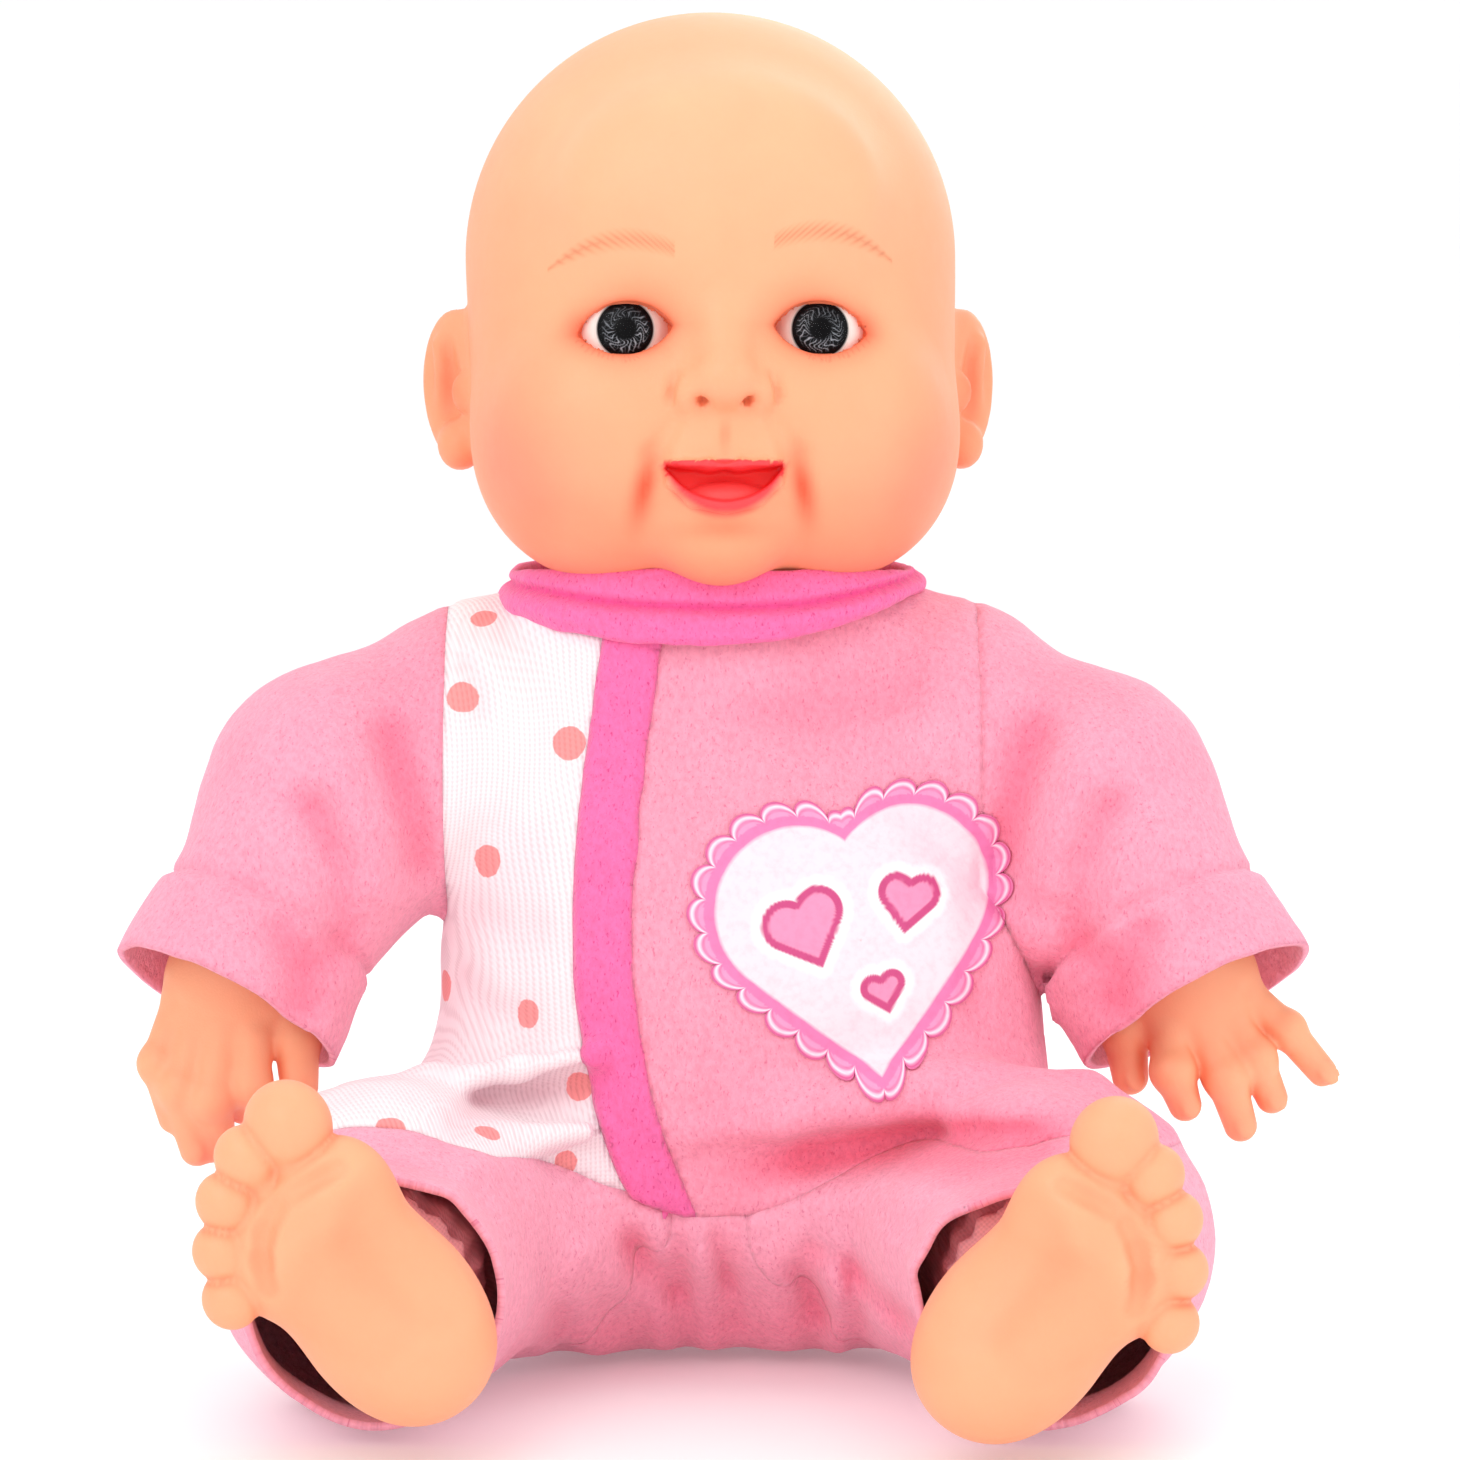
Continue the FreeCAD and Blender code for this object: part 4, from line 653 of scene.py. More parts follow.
def fine_zone(c):
    """Where the face has small features: brows, lids and lips."""
    x, z = np.abs(c[:, 0]), c[:, 2]
    lids = np.abs(eye_gap(x - EYE[0], z - EYE[2])) < 2.2
    lips = (x < 13) & (z < -30) & (z > -42)
    return (c[:, 1] < -26) & (lids | lips) | brow_zone(c)


def make_head():
    points, quads = solid_from(head_field, (-56, -52, -66), (56, 56, 56), 0.95)
    head = make_object("head", points, quads)
    refine(head, fine_zone)
    refine(head, lambda c: brow_zone(c) | (
        (lash_mask(np.abs(c[:, 0]) - EYE[0], c[:, 2] - EYE[2]) > 0) & (c[:, 1] < -26)
    ))
    points = settle(head_field, read_points(head), 0.4, 2)
    paint(head, head_colours(points))
    write_points(head, head_to_row(points))
    head.data.materials.append(vinyl("vinyl_head"))
    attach(head, "head")
    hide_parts("head_shell")


def disc_mesh(name, radii, turns, spot):
    """A polar mesh. spot maps (radius, angle) arrays to points."""
    r, a = np.meshgrid(radii, np.arange(turns) * 2 * math.pi / turns, indexing="ij")
    points = spot(r.ravel(), a.ravel())
    index = np.arange(r.size).reshape(r.shape)
    faces = []
    for i in range(len(radii) - 1):
        inner, outer = index[i], index[i + 1]
        faces.append(np.stack([inner, np.roll(inner, -1), np.roll(outer, -1), outer], 1))
    return make_object(name, points, np.concatenate(faces)), points


def make_eye(side_name, sign):
    """Eyeball with a printed iris, and the clear dome over it."""
    centre = EYE * vec(sign, 1, 1)

    def on_ball(radius, lift):
        def spot(r, a):
            angle = r / EYE_RADIUS
            out = (radius + lift(r))[:, None] * np.stack(
                [np.sin(angle) * np.cos(a), -np.cos(angle), np.sin(angle) * np.sin(a)], 1
            )
            return head_to_row(centre + out)

        return spot

    span = math.pi * EYE_RADIUS
    rings = np.concatenate([[0.02], np.linspace(0.15, 6.5, 60), np.linspace(6.9, span * 0.99, 40)])
    ball_name = side_name + "_eyeball"
    white, points = disc_mesh(
        ball_name, rings, 288, on_ball(EYE_RADIUS, lambda r: -0.05 * (r < IRIS_RADIUS))
    )
    q = row_to_head(points) - centre
    r = EYE_RADIUS * np.arccos(np.clip(-q[:, 1] / np.linalg.norm(q, axis=1), -1, 1))
    a = np.arctan2(q[:, 2], q[:, 0])
    colour = np.tile(linear(250, 244, 238), (len(q), 1))
    # painted shade: pinker towards the corners and a dark band under the upper lid, where the lids shade
    # the ball
    colour = mix(colour, linear(244, 190, 178), np.clip((np.abs(q[:, 0]) - 4.2) / 5, 0, 0.7))
    colour = mix(colour, linear(120, 100, 110), 0.5 * np.exp(-np.square((q[:, 2] - 5.4) / 1.6)))
    iris = np.tile(linear(8, 8, 11), (len(q), 1))
    wave = 0.22 * np.sin(r * 2.3 + sign) + 0.10 * np.sin(r * 4.1 + 3 * a)
    rays = 0.5 + 0.5 * np.sin(18 * (a + wave) + 1.2 * np.sin(4 * a + sign))
    crossing = 0.5 + 0.5 * np.sin(26 * (a - 0.8 * wave) + 1.4 * np.sin(3 * a))
    band = np.clip((r - 1.8) / 0.5, 0, 1) * np.clip((4.3 - r) / 0.7, 0, 1)
    # painted light: the rays are brighter on the lower side of the iris
    light = 0.35 + 0.65 * np.clip(0.6 - 0.75 * np.sin(a + 0.3 * sign), 0, 1)
    iris = mix(iris, linear(206, 212, 222), 0.7 * rays**12 * band * light)
    iris = mix(iris, linear(170, 176, 188), 0.3 * crossing**16 * band * light)
    iris = mix(iris, linear(4, 4, 6), np.clip((1.75 - r) / 0.3, 0, 1))
    edge = np.clip((IRIS_RADIUS - r) / 0.35 + 0.5, 0, 1)
    colour = colour * (1 - edge[:, None]) + iris * edge[:, None]
    paint(white, colour)
    material, tree, shader = new_material(ball_name, 0.3, Specular_IOR_Level=0.12)
    mottle = ramp(tree, noise(tree, 700, 3), [(0.35, (0.96, 0.95, 0.95)), (0.65, (1, 1, 1))])
    tree.links.new(multiply(tree, painted(tree), mottle), shader.inputs["Base Color"])
    bump(tree, shader, noise(tree, 1500, 2), 0.00001)
    white.data.materials.append(material)
    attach(white, "head")
    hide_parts(side_name + "_eyeball", side_name + "_iris")
    dome_rings = np.concatenate([[0.02], np.linspace(0.2, 5.6, 30)])
    dome, _ = disc_mesh(
        side_name + "_cornea",
        dome_rings,
        72,
        on_ball(EYE_RADIUS, lambda r: 0.12 + 0.5 * np.square(np.clip(1 - r / 5.6, 0, 1))),
    )
    clear, tree, shader = new_material(
        side_name + "_cornea", 0.03, IOR=1.3, Alpha=0.07
    )
    gloss = node(
        tree, "MapRange", {"Value": noise(tree, 900, 2), "To Min": 0.015, "To Max": 0.05}
    ).outputs["Result"]
    tree.links.new(gloss, shader.inputs["Roughness"])
    shader.inputs["Base Color"].default_value = (0, 0, 0, 1)
    dome.data.materials.append(clear)
    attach(dome, "head")
    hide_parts(side_name + "_cornea")


# ---------------------------------------------------------------- light and camera

CAMERA_TILT = math.radians(5)
CAMERA_AWAY = 1.0
CAMERA_TARGET = Vector((0.0032, -0.010, 0.112))


def area_light(name, spot, towards, size, power, colour=(1, 1, 1)):
    data = bpy.data.lights.new(name, "AREA")
    data.shape = "DISK"
    data.size = size
    data.energy = power
    data.color = colour
    made = bpy.data.objects.new(name, data)
    made.location = spot
    made.rotation_euler = (Vector(towards) - Vector(spot)).to_track_quat("-Z", "Y").to_euler()
    bpy.context.scene.collection.objects.link(made)


def make_stage():
    reach, back, bend = 4.0, 1.6, 1.0
    turn = np.linspace(0, math.pi / 2, 24)
    y = [-reach, 0.0, back, *(back + bend * np.sin(turn)), back + bend]
    z = [0.0, 0.0, 0.0, *(bend - bend * np.cos(turn)), reach]
    points = [(x, b, c) for b, c in zip(y, z) for x in (-reach, reach)]
    faces = [(2 * i, 2 * i + 1, 2 * i + 3, 2 * i + 2) for i in range(len(y) - 1)]
    mesh = bpy.data.meshes.new("floor")
    mesh.from_pydata(points, [], faces)
    mesh.shade_smooth()
    floor = bpy.data.objects.new("floor", mesh)
    bpy.context.scene.collection.objects.link(floor)
    material, tree, shader = new_material("floor", 0.6)
    shade = ramp(tree, noise(tree, 3, 2), [(0.3, (0.86, 0.86, 0.87)), (0.7, (0.9, 0.9, 0.9))])
    tree.links.new(shade, shader.inputs["Base Color"])
    tree.links.new(shade, shader.inputs["Emission Color"])
    shader.inputs["Emission Strength"].default_value = 0.16
    floor.data.materials.append(material)
    world = bpy.data.worlds.new("studio")
    world.use_nodes = True
    world.node_tree.nodes["Background"].inputs["Color"].default_value = (1.0, 0.99, 0.98, 1)
    world.node_tree.nodes["Background"].inputs["Strength"].default_value = 0.95
    bpy.context.scene.view_settings.view_transform = "Standard"
    bpy.context.scene.world = world
    middle = (0, 0, 0.12)
    area_light("key", (-0.45, -0.9, 0.75), middle, 0.8, 3.0)
    area_light("fill", (0.9, -0.7, 0.45), middle, 0.9, 1.5)
    area_light("top", (0.0, 0.1, 1.1), middle, 1.0, 2.0)
    area_light("back", (0.3, 0.9, 0.6), middle, 0.8, 2.0)


def make_camera():
    data = bpy.data.cameras.new("camera")
    data.lens = 140.6
    data.sensor_width = 36
    made = bpy.data.objects.new("camera", data)
    away = Vector((0, -math.cos(CAMERA_TILT), math.sin(CAMERA_TILT))) * CAMERA_AWAY
    made.location = CAMERA_TARGET + away
    made.rotation_euler = (-away).to_track_quat("-Z", "Y").to_euler()
    bpy.context.scene.collection.objects.link(made)
    bpy.context.scene.camera = made


# ---------------------------------------------------------------- romper

ARM = [vec(38, 2, 109.5), vec(66, -5, 99), vec(84.5, -20, 64.5)]
ARM_WIDE = [24.5, 21.2, 18.6]
LEG = [vec(29, 0, 28.5), vec(56.5, -47, 26.8), vec(55.4, -84, 24.6)]
LEG_WIDE = [24.8, 26.4, 19.4]
ANKLE = vec(54.5, -84, 24)
SLEEVE_SEAM = 46.5
CUFF_HEM = 16.0
CLOTH = 1.3

# height, half width, half depth, shift back
TORSO = np.array([
    (30, 45.0, 35.0, -3.0),
    (50, 47.5, 37.5, -4.0),
    (68, 48.0, 37.0, -4.0),
    (94, 46.5, 33.0, -1.5),
    (112, 44.0, 28.0, 1.5),
    (124, 39.0, 26.0, 2.0),
    (134, 33.5, 25.5, 2.5),
    (150, 31.0, 24.5, 3.0),
])
HEIGHTS = np.linspace(-20, 170, 381)
PLACKET_LINE = np.polyfit([130, 94, 68, 51, 30], [-13.5, -18.2, -17.8, -15.4, -7.0], 3)
PLACKET_HALF = 4.7
NECKLINE = 130.5
NECKLINE_RISE = 0.03

# which way a leg pulls the cloth, and how far along that way the trouser legs begin
LEG_PULL = vec(0.50, -0.85, -0.15) / np.linalg.norm([0.50, 0.85, 0.15])
SEAT_SEAM = 31.0


def smooth_column(column):
    """The torso's sections as a smooth curve over height."""
    rough = np.interp(HEIGHTS, TORSO[:, 0], TORSO[:, column])
    kernel = np.exp(-np.square(np.arange(-24, 25) / 11.0))
    return np.convolve(np.pad(rough, 24, mode="edge"), kernel / kernel.sum(), "valid")


TORSO_CURVES = [smooth_column(column) for column in (1, 2, 3)]


def torso_field(p):
    wide, deep, back = (np.interp(p[:, 2], HEIGHTS, curve) for curve in TORSO_CURVES)
    x, y = p[:, 0], p[:, 1] - back
    near = np.hypot(x / wide, y / deep)
    steep = np.hypot(x / wide**2, y / deep**2)
    stack = near * (near - 1) / np.maximum(steep, 1e-6)
    stack = smooth_max(stack, 24 - p[:, 2], 10)
    seat = egg(p, vec(0, 1, 30), vec(47, 34, 29))
    body = smooth_min(stack, seat, 12)
    side = np.stack([np.abs(p[:, 0]), p[:, 1], p[:, 2]], 1)
    shoulder = rod(side, vec(14, 3, 118), vec(42, 2.5, 112), 20, 20.5)
    drape = egg(p, vec(25, -9, 62), vec(32.6, 29, 32))
    return smooth_min(smooth_min(body, drape, 12), shoulder, 9)


def tube_field(side, points, radii):
    """A soft tube that runs on past its last point, so that it can be cut there."""
    last = points[-1] + (points[-1] - points[-2]) / np.linalg.norm(points[-1] - points[-2]) * 14
    return chain(side, [*points, last], [*radii, radii[-1]], 9)


def polyline_distance(u, v, points):
    """Distance to a polyline in a plane, and how far along it (0 to 1)."""
    best = np.full(len(u), 1e9)
    along = np.zeros(len(u))
    count = len(points) - 1
    for i in range(count):
        (a, b), (c, d) = points[i], points[i + 1]
        t = np.clip(((u - a) * (c - a) + (v - b) * (d - b)) / ((c - a) ** 2 + (d - b) ** 2), 0, 1)
        far = np.hypot(u - a - t * (c - a), v - b - t * (d - b))
        closer = far < best
        best = np.where(closer, far, best)
        along = np.where(closer, (i + t) / count, along)
    return best, along


# Folds seen from the front, as (x, z) lines with their height and width; minus is a groove.
SLEEVE_FOLDS = [
    ([(58, 118), (54.5, 107), (51.5, 96), (50.5, 84)], -2.8, 4.2),
    ([(66, 112), (62, 100), (58.5, 90), (57, 80)], 2.2, 5.0),
    ([(74, 104), (67, 99), (63.5, 90), (64, 80), (66, 70)], -3.0, 4.0),
    ([(82, 98), (74, 94), (68, 86), (66, 74)], 2.0, 5.5),
    ([(75, 84), (71, 74), (70, 62)], -2.3, 4.2),
]
RIGHT_FOLDS = [
    ([(-34.4, 135), (-27, 130), (-18, 124)], 1.3, 3.4),
    ([(-44, 127), (-40.5, 121), (-39, 113)], -1.1, 2.2),
    ([(-31, 124), (-32, 108), (-36, 95)], 0.9, 4.5),
    ([(-44, 82), (-36, 79), (-26, 79)], -0.8, 4.0),
    ([(-18, 54), (-31, 51.5), (-46, 49.0)], -2.2, 2.8),
    ([(-46, 72), (-40, 66), (-30, 63.5)], -1.2, 3.2),
    ([(-22, 46), (-32, 43.5), (-45, 44)], 1.0, 2.6),
]
LEFT_FOLDS = [
    ([(4, 38.0), (26, 42.4), (46, 46.5), (62, 48.5)], -4.6, 3.8),
    ([(-1, 118), (14, 116), (30, 118), (40, 124)], -1.1, 4.5),
    ([(38, 112), (30, 104), (24, 96)], 1.0, 4.5),
    ([(46, 88), (47, 74), (48, 62)], -1.2, 4.0),
    ([(12, 33), (30, 37), (44, 38)], 0.9, 4.0),
]
CROTCH_FOLDS = [
    ([(0, 29), (1.5, 22), (4, 14)], -1.1, 1.4),
    ([(-15.5, 29), (-10, 20), (-5, 12)], -2.2, 2.6),
    ([(-22, 30), (-17, 20), (-13, 10)], 1.6, 3.0),
    ([(15, 27), (26, 21), (36, 13)], -1.8, 3.0),
    ([(12, 24), (18, 16), (20, 8)], -1.4, 2.4),
    ([(24, 31), (36, 29), (44, 22)], 1.4, 3.4),
]


# Thick folds lying over the lap, as (points, radii).
LAP_RIDGES = [
    ([(-3, -40, 45), (12, -42, 48.5), (27, -42, 51.5), (46, -38, 53), (64, -42, 53), (76, -47, 46)],
     [1.5, 3.0, 3.6, 3.8, 3.4, 1.5]),
    ([(-20, -40, 59), (-33, -38, 56), (-48, -34, 53), (-62, -36, 50)], [1.2, 2.6, 3.0, 1.6]),
    ([(-22, -42, 46), (-36, -46, 46.5), (-52, -54, 49)], [1.0, 2.0, 1.2]),
]


def fold_sum(x, z, folds):
    total = np.zeros(len(x))
    for points, height, width in folds:
        far, along = polyline_distance(x, z, points)
        fade = np.clip(along / 0.18, 0, 1) * np.clip((1 - along) / 0.18, 0, 1)
        total += height * np.exp(-np.square(far / width)) * (0.15 + 0.85 * fade)
    return total


def romper_folds(p):
    """How far the cloth stands out of its plain shape."""
    x, y, z = p.T
    side = np.abs(x)
    to_front = np.clip((-y - 4) / 10, 0, 1)
    arm_front = np.clip((-y + 4 - np.clip(side - 50, 0, 40) * 0.45) / 10, 0, 1)
    on_arm = np.clip((side - 44) / 5, 0, 1) * np.clip((z - 56) / 6, 0, 1)
    total = on_arm * arm_front * fold_sum(side, z, SLEEVE_FOLDS)
    body = to_front * (1 - on_arm)
    total += body * fold_sum(x, z, RIGHT_FOLDS + LEFT_FOLDS + CROTCH_FOLDS)
    low = np.clip((34 - z) / 12, 0, 1) * np.clip((-y - 4) / 14, 0, 1) * np.clip((34 - side) / 12, 0, 1)
    gather = np.sin(x * 0.6 + 0.9 * np.sin(x * 0.23 + 1) + 0.05 * z + 0.8)
    total += 0.9 * low * gather
    stretch = p * vec(1, 1, 0.55)
    total += 0.8 * rough_noise(stretch, 17, 3, 2) + 0.14 * value_noise(p, 4.2, 9)
    behind = np.clip((y - 6) / 12, 0, 1)
    total += behind * 1.6 * value_noise(p * vec(0.6, 1, 1.5), 15, 21)
    return total


def placket_distance(p):
    """Sideways distance from the placket's middle line, for points in front."""
    return np.abs(p[:, 0] - np.polyval(PLACKET_LINE, p[:, 2]))


def hem_height(p):
    """Above this the front of the body is bodice, and below it trousers."""
    side = np.abs(p[:, 0])
    out = np.clip(side / 42, 0, 1)
    out = out * out * (3 - 2 * out)
    behind = np.clip((p[:, 1] + 12) / 20, 0, 1)
    base = 30 + 15 * np.maximum(out, behind)
    edge = 38 + 22 * out
    return base + 1.2 * np.maximum(0, -p[:, 1] - edge)


def neckline_lift(x):
    """The collar lies low in front and climbs to the sides, more so on the doll's left."""
    return 7.0 * np.clip(x / 35, 0, 1) ** 1.6 + 3.6 * np.clip(-x / 35, 0, 1) ** 1.6


def neckline_height(p):
    return NECKLINE + (p[:, 1] - 2) * NECKLINE_RISE + neckline_lift(p[:, 0])


def in_tube(side, points):
    """How far past the last point, along the last stretch of a path."""
    down = (points[-1] - points[-2]) / np.linalg.norm(points[-1] - points[-2])
    return (side - points[-1]) @ down


def arm_field(side):
    """The sleeve, closed off a little past its cuff so that it stays clear of the lap."""
    return smooth_max(tube_field(side, ARM, ARM_WIDE), in_tube(side, ARM) - 3.0, 1.0)


def romper_field(p):
    """The outside of the whole romper."""
    side = np.stack([np.abs(p[:, 0]), p[:, 1], p[:, 2]], 1)
    torso = torso_field(p)
    arm = arm_field(side)
    leg = tube_field(side, LEG, LEG_WIDE)
    body = smooth_min(torso, leg, 15)
    for points, radii in LAP_RIDGES:
        body = smooth_min(body, chain(p, [vec(*spot) for spot in points], radii, 4), 5)
    body = smooth_max(body, -egg(p, vec(0, -50, 3), vec(27, 30, 15)), 8)
    whole = smooth_min(body, arm, 5)
    whole = whole - romper_folds(p)
    underarm = rod(p, vec(57, -20, 78.5), vec(57, 10, 80), 5.0)
    whole = smooth_min(whole, underarm, 5)
    raised = np.clip((PLACKET_HALF - placket_distance(p)) / 0.8 + 0.5, 0, 1)
    raised *= (p[:, 1] < -8) & (p[:, 2] > hem_height(p))
    whole = whole - 1.1 * raised
    past = in_tube(side, ARM) + CUFF_HEM
    on_arm = (arm < torso) & (arm < leg)
    step = on_arm * (0.8 * np.clip(past / 1.5, 0, 1) - 0.7 * ring(past, -0.6, 0.8))
    whole = whole - step
    for seam in seam_fields(p, torso, arm):
        whole = whole + 0.5 * np.exp(-np.square(seam / 1.2))
    return smooth_max(whole, 0.5 - p[:, 2], 2.5)


def seam_fields(p, torso, arm):
    """Signed distances to the sewn lines: sleeve and hem."""
    side = np.abs(p[:, 0])
    sleeve = np.minimum(side - SLEEVE_SEAM, (torso - arm) * 0.7 + 2)
    sleeve = np.where(p[:, 2] > 58, sleeve, 50)
    hem = np.where((side < 75) & (p[:, 2] < 62), (p[:, 2] - hem_height(p)) * 0.8, 50)
    return [sleeve, hem]


def follow(p):
    """How far along the pull of the leg a point lies."""
    return np.stack([np.abs(p[:, 0]), p[:, 1], p[:, 2]], 1) @ LEG_PULL


def romper_classes(p):
    """The name of the piece that each point belongs to, empty where the cloth is cut away."""
    side = np.stack([np.abs(p[:, 0]), p[:, 1], p[:, 2]], 1)
    torso = torso_field(p)
    arm = arm_field(side)
    leg = tube_field(side, LEG, LEG_WIDE)
    sleeve_line = np.minimum(side[:, 0] - SLEEVE_SEAM, (torso - arm) * 0.7 + 2)
    sleeve = (sleeve_line > 0) & (arm < leg) & (p[:, 2] > 40)
    left = p[:, 0] > 0
    above = p[:, 2] > hem_height(p)
    piece = np.full(len(p), "seat_panel", dtype=object)
    leg_part = ~above & (follow(p) > SEAT_SEAM)
    piece[leg_part & left] = "left_trouser_leg"
    piece[leg_part & ~left] = "right_trouser_leg"
    front = p[:, 1] < 5
    bodice = above & ~sleeve
    piece[bodice & front] = "bodice_left_front"
    across = p[:, 0] - np.polyval(PLACKET_LINE, p[:, 2])
    piece[bodice & front & (across < 0)] = "bodice_right_front"
    placket = bodice & (p[:, 1] < -8) & (np.abs(across) < PLACKET_HALF + 0.6)
    piece[placket] = "placket"
    piece[bodice & ~front & left] = "bodice_left_back"
    piece[bodice & ~front & ~left] = "bodice_right_back"
    piece[sleeve & left] = "left_sleeve"
    piece[sleeve & ~left] = "right_sleeve"
    beyond = (arm < torso) & (arm < leg) & (in_tube(side, ARM) > 0)
    beyond |= leg_part & (in_tube(side, LEG) > 0)
    collar_hole = np.hypot(p[:, 0] / 36.5, (p[:, 1] - 2) / 30) < 1
    beyond |= collar_hole & (p[:, 2] > neckline_height(p))
    piece[beyond] = ""
    return piece


def tidy_edges(points, quads, piece_of_face):
    """Smooths the staircase edges between pieces, along the surface."""
    edges = np.sort(np.stack([quads, np.roll(quads, -1, axis=1)], -1).reshape(-1, 2), axis=1)
    codes = edges[:, 0].astype(np.int64) * len(points) + edges[:, 1]
    owner = np.repeat(piece_of_face, 4)
    order = np.argsort(codes, kind="stable")
    codes, owner, edges = codes[order], owner[order], edges[order]
    paired = codes[:-1] == codes[1:]
    border = edges[:-1][paired & (owner[:-1] != owner[1:])]
    for _ in range(14):
        total = np.zeros_like(points)
        count = np.zeros(len(points))
        for a, b in (border.T, border[:, ::-1].T):
            np.add.at(total, a, points[b])
            np.add.at(count, a, 1)
        inner = count == 2
        points = points.copy()
        points[inner] = points[inner] * 0.45 + total[inner] / 2 * 0.55
        moved = np.unique(border)
        points[moved] = settle(romper_field, points[moved], 1.0, 1)
    return points


def salmon_dots(points, chosen):
    """Places on the jersey for its printed dots, found on the cloth itself."""
    spots = [(-43.0, 118.5, 2.9), (-24.1, 111, 3.0), (-38.6, 90.4, 2.9), (-47.0, 66.5, 2.8),
             (-31.6, 64.4, 2.6), (-22.6, 53, 2.8), (-24.9, 40, 2.2), (-39.5, 131.5, 2.4),
             (-54, 48, 2.6), (-38, 47.5, 2.3)]
    ours = points[chosen]
    found = []
    for x, z, radius in spots:
        near = np.argmin(np.hypot(ours[:, 0] - x, ours[:, 2] - z) + 0.05 * ours[:, 1])
        found.append((ours[near], radius))
    return found


def rest(tree):
    """Places on the cloth as it was cut, so that the weave goes with it."""
    return node(tree, "Attribute", attribute_name="rest").outputs["Vector"]


def cloth_noise(tree, scale, detail=3.0, stretch=(1, 1, 1), roughness=0.55):
    place = node(tree, "Mapping", {"Vector": rest(tree), "Scale": stretch}).outputs["Vector"]
    return node(
        tree, "TexNoise", {"Vector": place, "Scale": scale, "Detail": detail, "Roughness": roughness}
    ).outputs["Fac"]


def sums(tree, operation, a, b=0.0, c=0.0):
    return node(tree, "Math", {0: a, 1: b, 2: c}, operation=operation).outputs[0]


def fleece(name, fleck=(0.84, 0.62, 0.72), nap=1.0):
    """Brushed fleece: short fuzzy pile, darker flecks and a soft sheen."""
    made, tree, shader = new_material(name, 0.95, Sheen_Weight=0.35, Sheen_Roughness=0.45)
    shader.inputs["Sheen Tint"].default_value = (1.0, 0.86, 0.9, 1)
    pile = cloth_noise(tree, 1150, 4, (1, 1, 0.6), 0.65)
    soft = ramp(tree, pile, [(0.32, (0.87, 0.8, 0.83)), (0.6, (1.03, 1.02, 1.02))])
    flecks = ramp(tree, cloth_noise(tree, 2300, 1, (1, 1, 0.5)), [(0.62, (1, 1, 1)), (0.74, fleck)])
    cloudy = ramp(tree, cloth_noise(tree, 70, 3), [(0.3, (0.96, 0.93, 0.95)), (0.7, (1.02, 1, 1))])
    colour = multiply(tree, multiply(tree, multiply(tree, painted(tree), soft), flecks), cloudy)
    tree.links.new(colour, shader.inputs["Base Color"])
    coarse = cloth_noise(tree, 420, 3)
    height = sums(tree, "MULTIPLY_ADD", coarse, 0.8, pile)
    bump(tree, shader, height, 0.00055 * nap, 0.75)
    return made


def jersey(name, dots):
    """White knitted jersey: fine columns of stitches, with printed dots."""
    made, tree, shader = new_material(name, 0.85, Sheen_Weight=0.12, Sheen_Roughness=0.5)
    place = node(tree, "SeparateXYZ", {"Vector": rest(tree)})
    x, y, z = (place.outputs[axis] for axis in "XYZ")
    drift = sums(tree, "MULTIPLY", cloth_noise(tree, 40, 1), 0.0016)
    across = sums(tree, "ADD", sums(tree, "MULTIPLY_ADD", y, 0.35, x), drift)
    column = sums(tree, "SINE", sums(tree, "MULTIPLY", across, 2 * math.pi / 0.00088))
    down = sums(tree, "SUBTRACT", z, sums(tree, "MULTIPLY", y, 0.8))
    slant = sums(tree, "MULTIPLY", sums(tree, "ABSOLUTE", column), 1.5)
    course = sums(tree, "SINE", sums(tree, "MULTIPLY_ADD", down, 2 * math.pi / 0.0008, slant))
    stitch = sums(tree, "MULTIPLY_ADD", course, 0.45, column)
    height = sums(tree, "MULTIPLY_ADD", stitch, 0.33, 0.5)
    thread = ramp(tree, height, [(0.12, (0.87, 0.83, 0.84)), (0.55, (1, 1, 1))])
    colour = multiply(tree, painted(tree), thread)
    print_mask = 0.0
    ragged = cloth_noise(tree, 900, 2)
    for (spot, radius) in dots:
        far = node(tree, "VectorMath", {0: rest(tree), 1: spot * MM}, operation="DISTANCE")
        edge = sums(tree, "MULTIPLY_ADD", ragged, 0.0006, far.outputs["Value"])
        inside = node(
            tree,
            "MapRange",
            {"Value": edge, "From Min": (radius + 0.35) * MM, "From Max": (radius + 0.15) * MM},
        ).outputs["Result"]
        print_mask = sums(tree, "MAXIMUM", inside, print_mask)
    print_mask = sums(tree, "MULTIPLY", print_mask, 0.9)
    dotted = node(
        tree, "MixRGB", {"Fac": print_mask, "Color1": colour}, blend_type="MIX"
    )
    salmon = multiply(tree, (*linear(247, 142, 140), 1), thread)
    tree.links.new(salmon, dotted.inputs["Color2"])
    tree.links.new(dotted.outputs["Color"], shader.inputs["Base Color"])
    bump(tree, shader, height, 0.00022, 0.6)
    return made


PINK = linear(255, 168, 192)
PINK_SHADE = linear(250, 104, 138)
PINK_SOFT = linear(255, 182, 204)
HOT_PINK = linear(255, 124, 186)
HOT_SHADE = linear(244, 70, 146)
WHITE = linear(252, 246, 248)
WHITE_SHADE = linear(250, 214, 222)


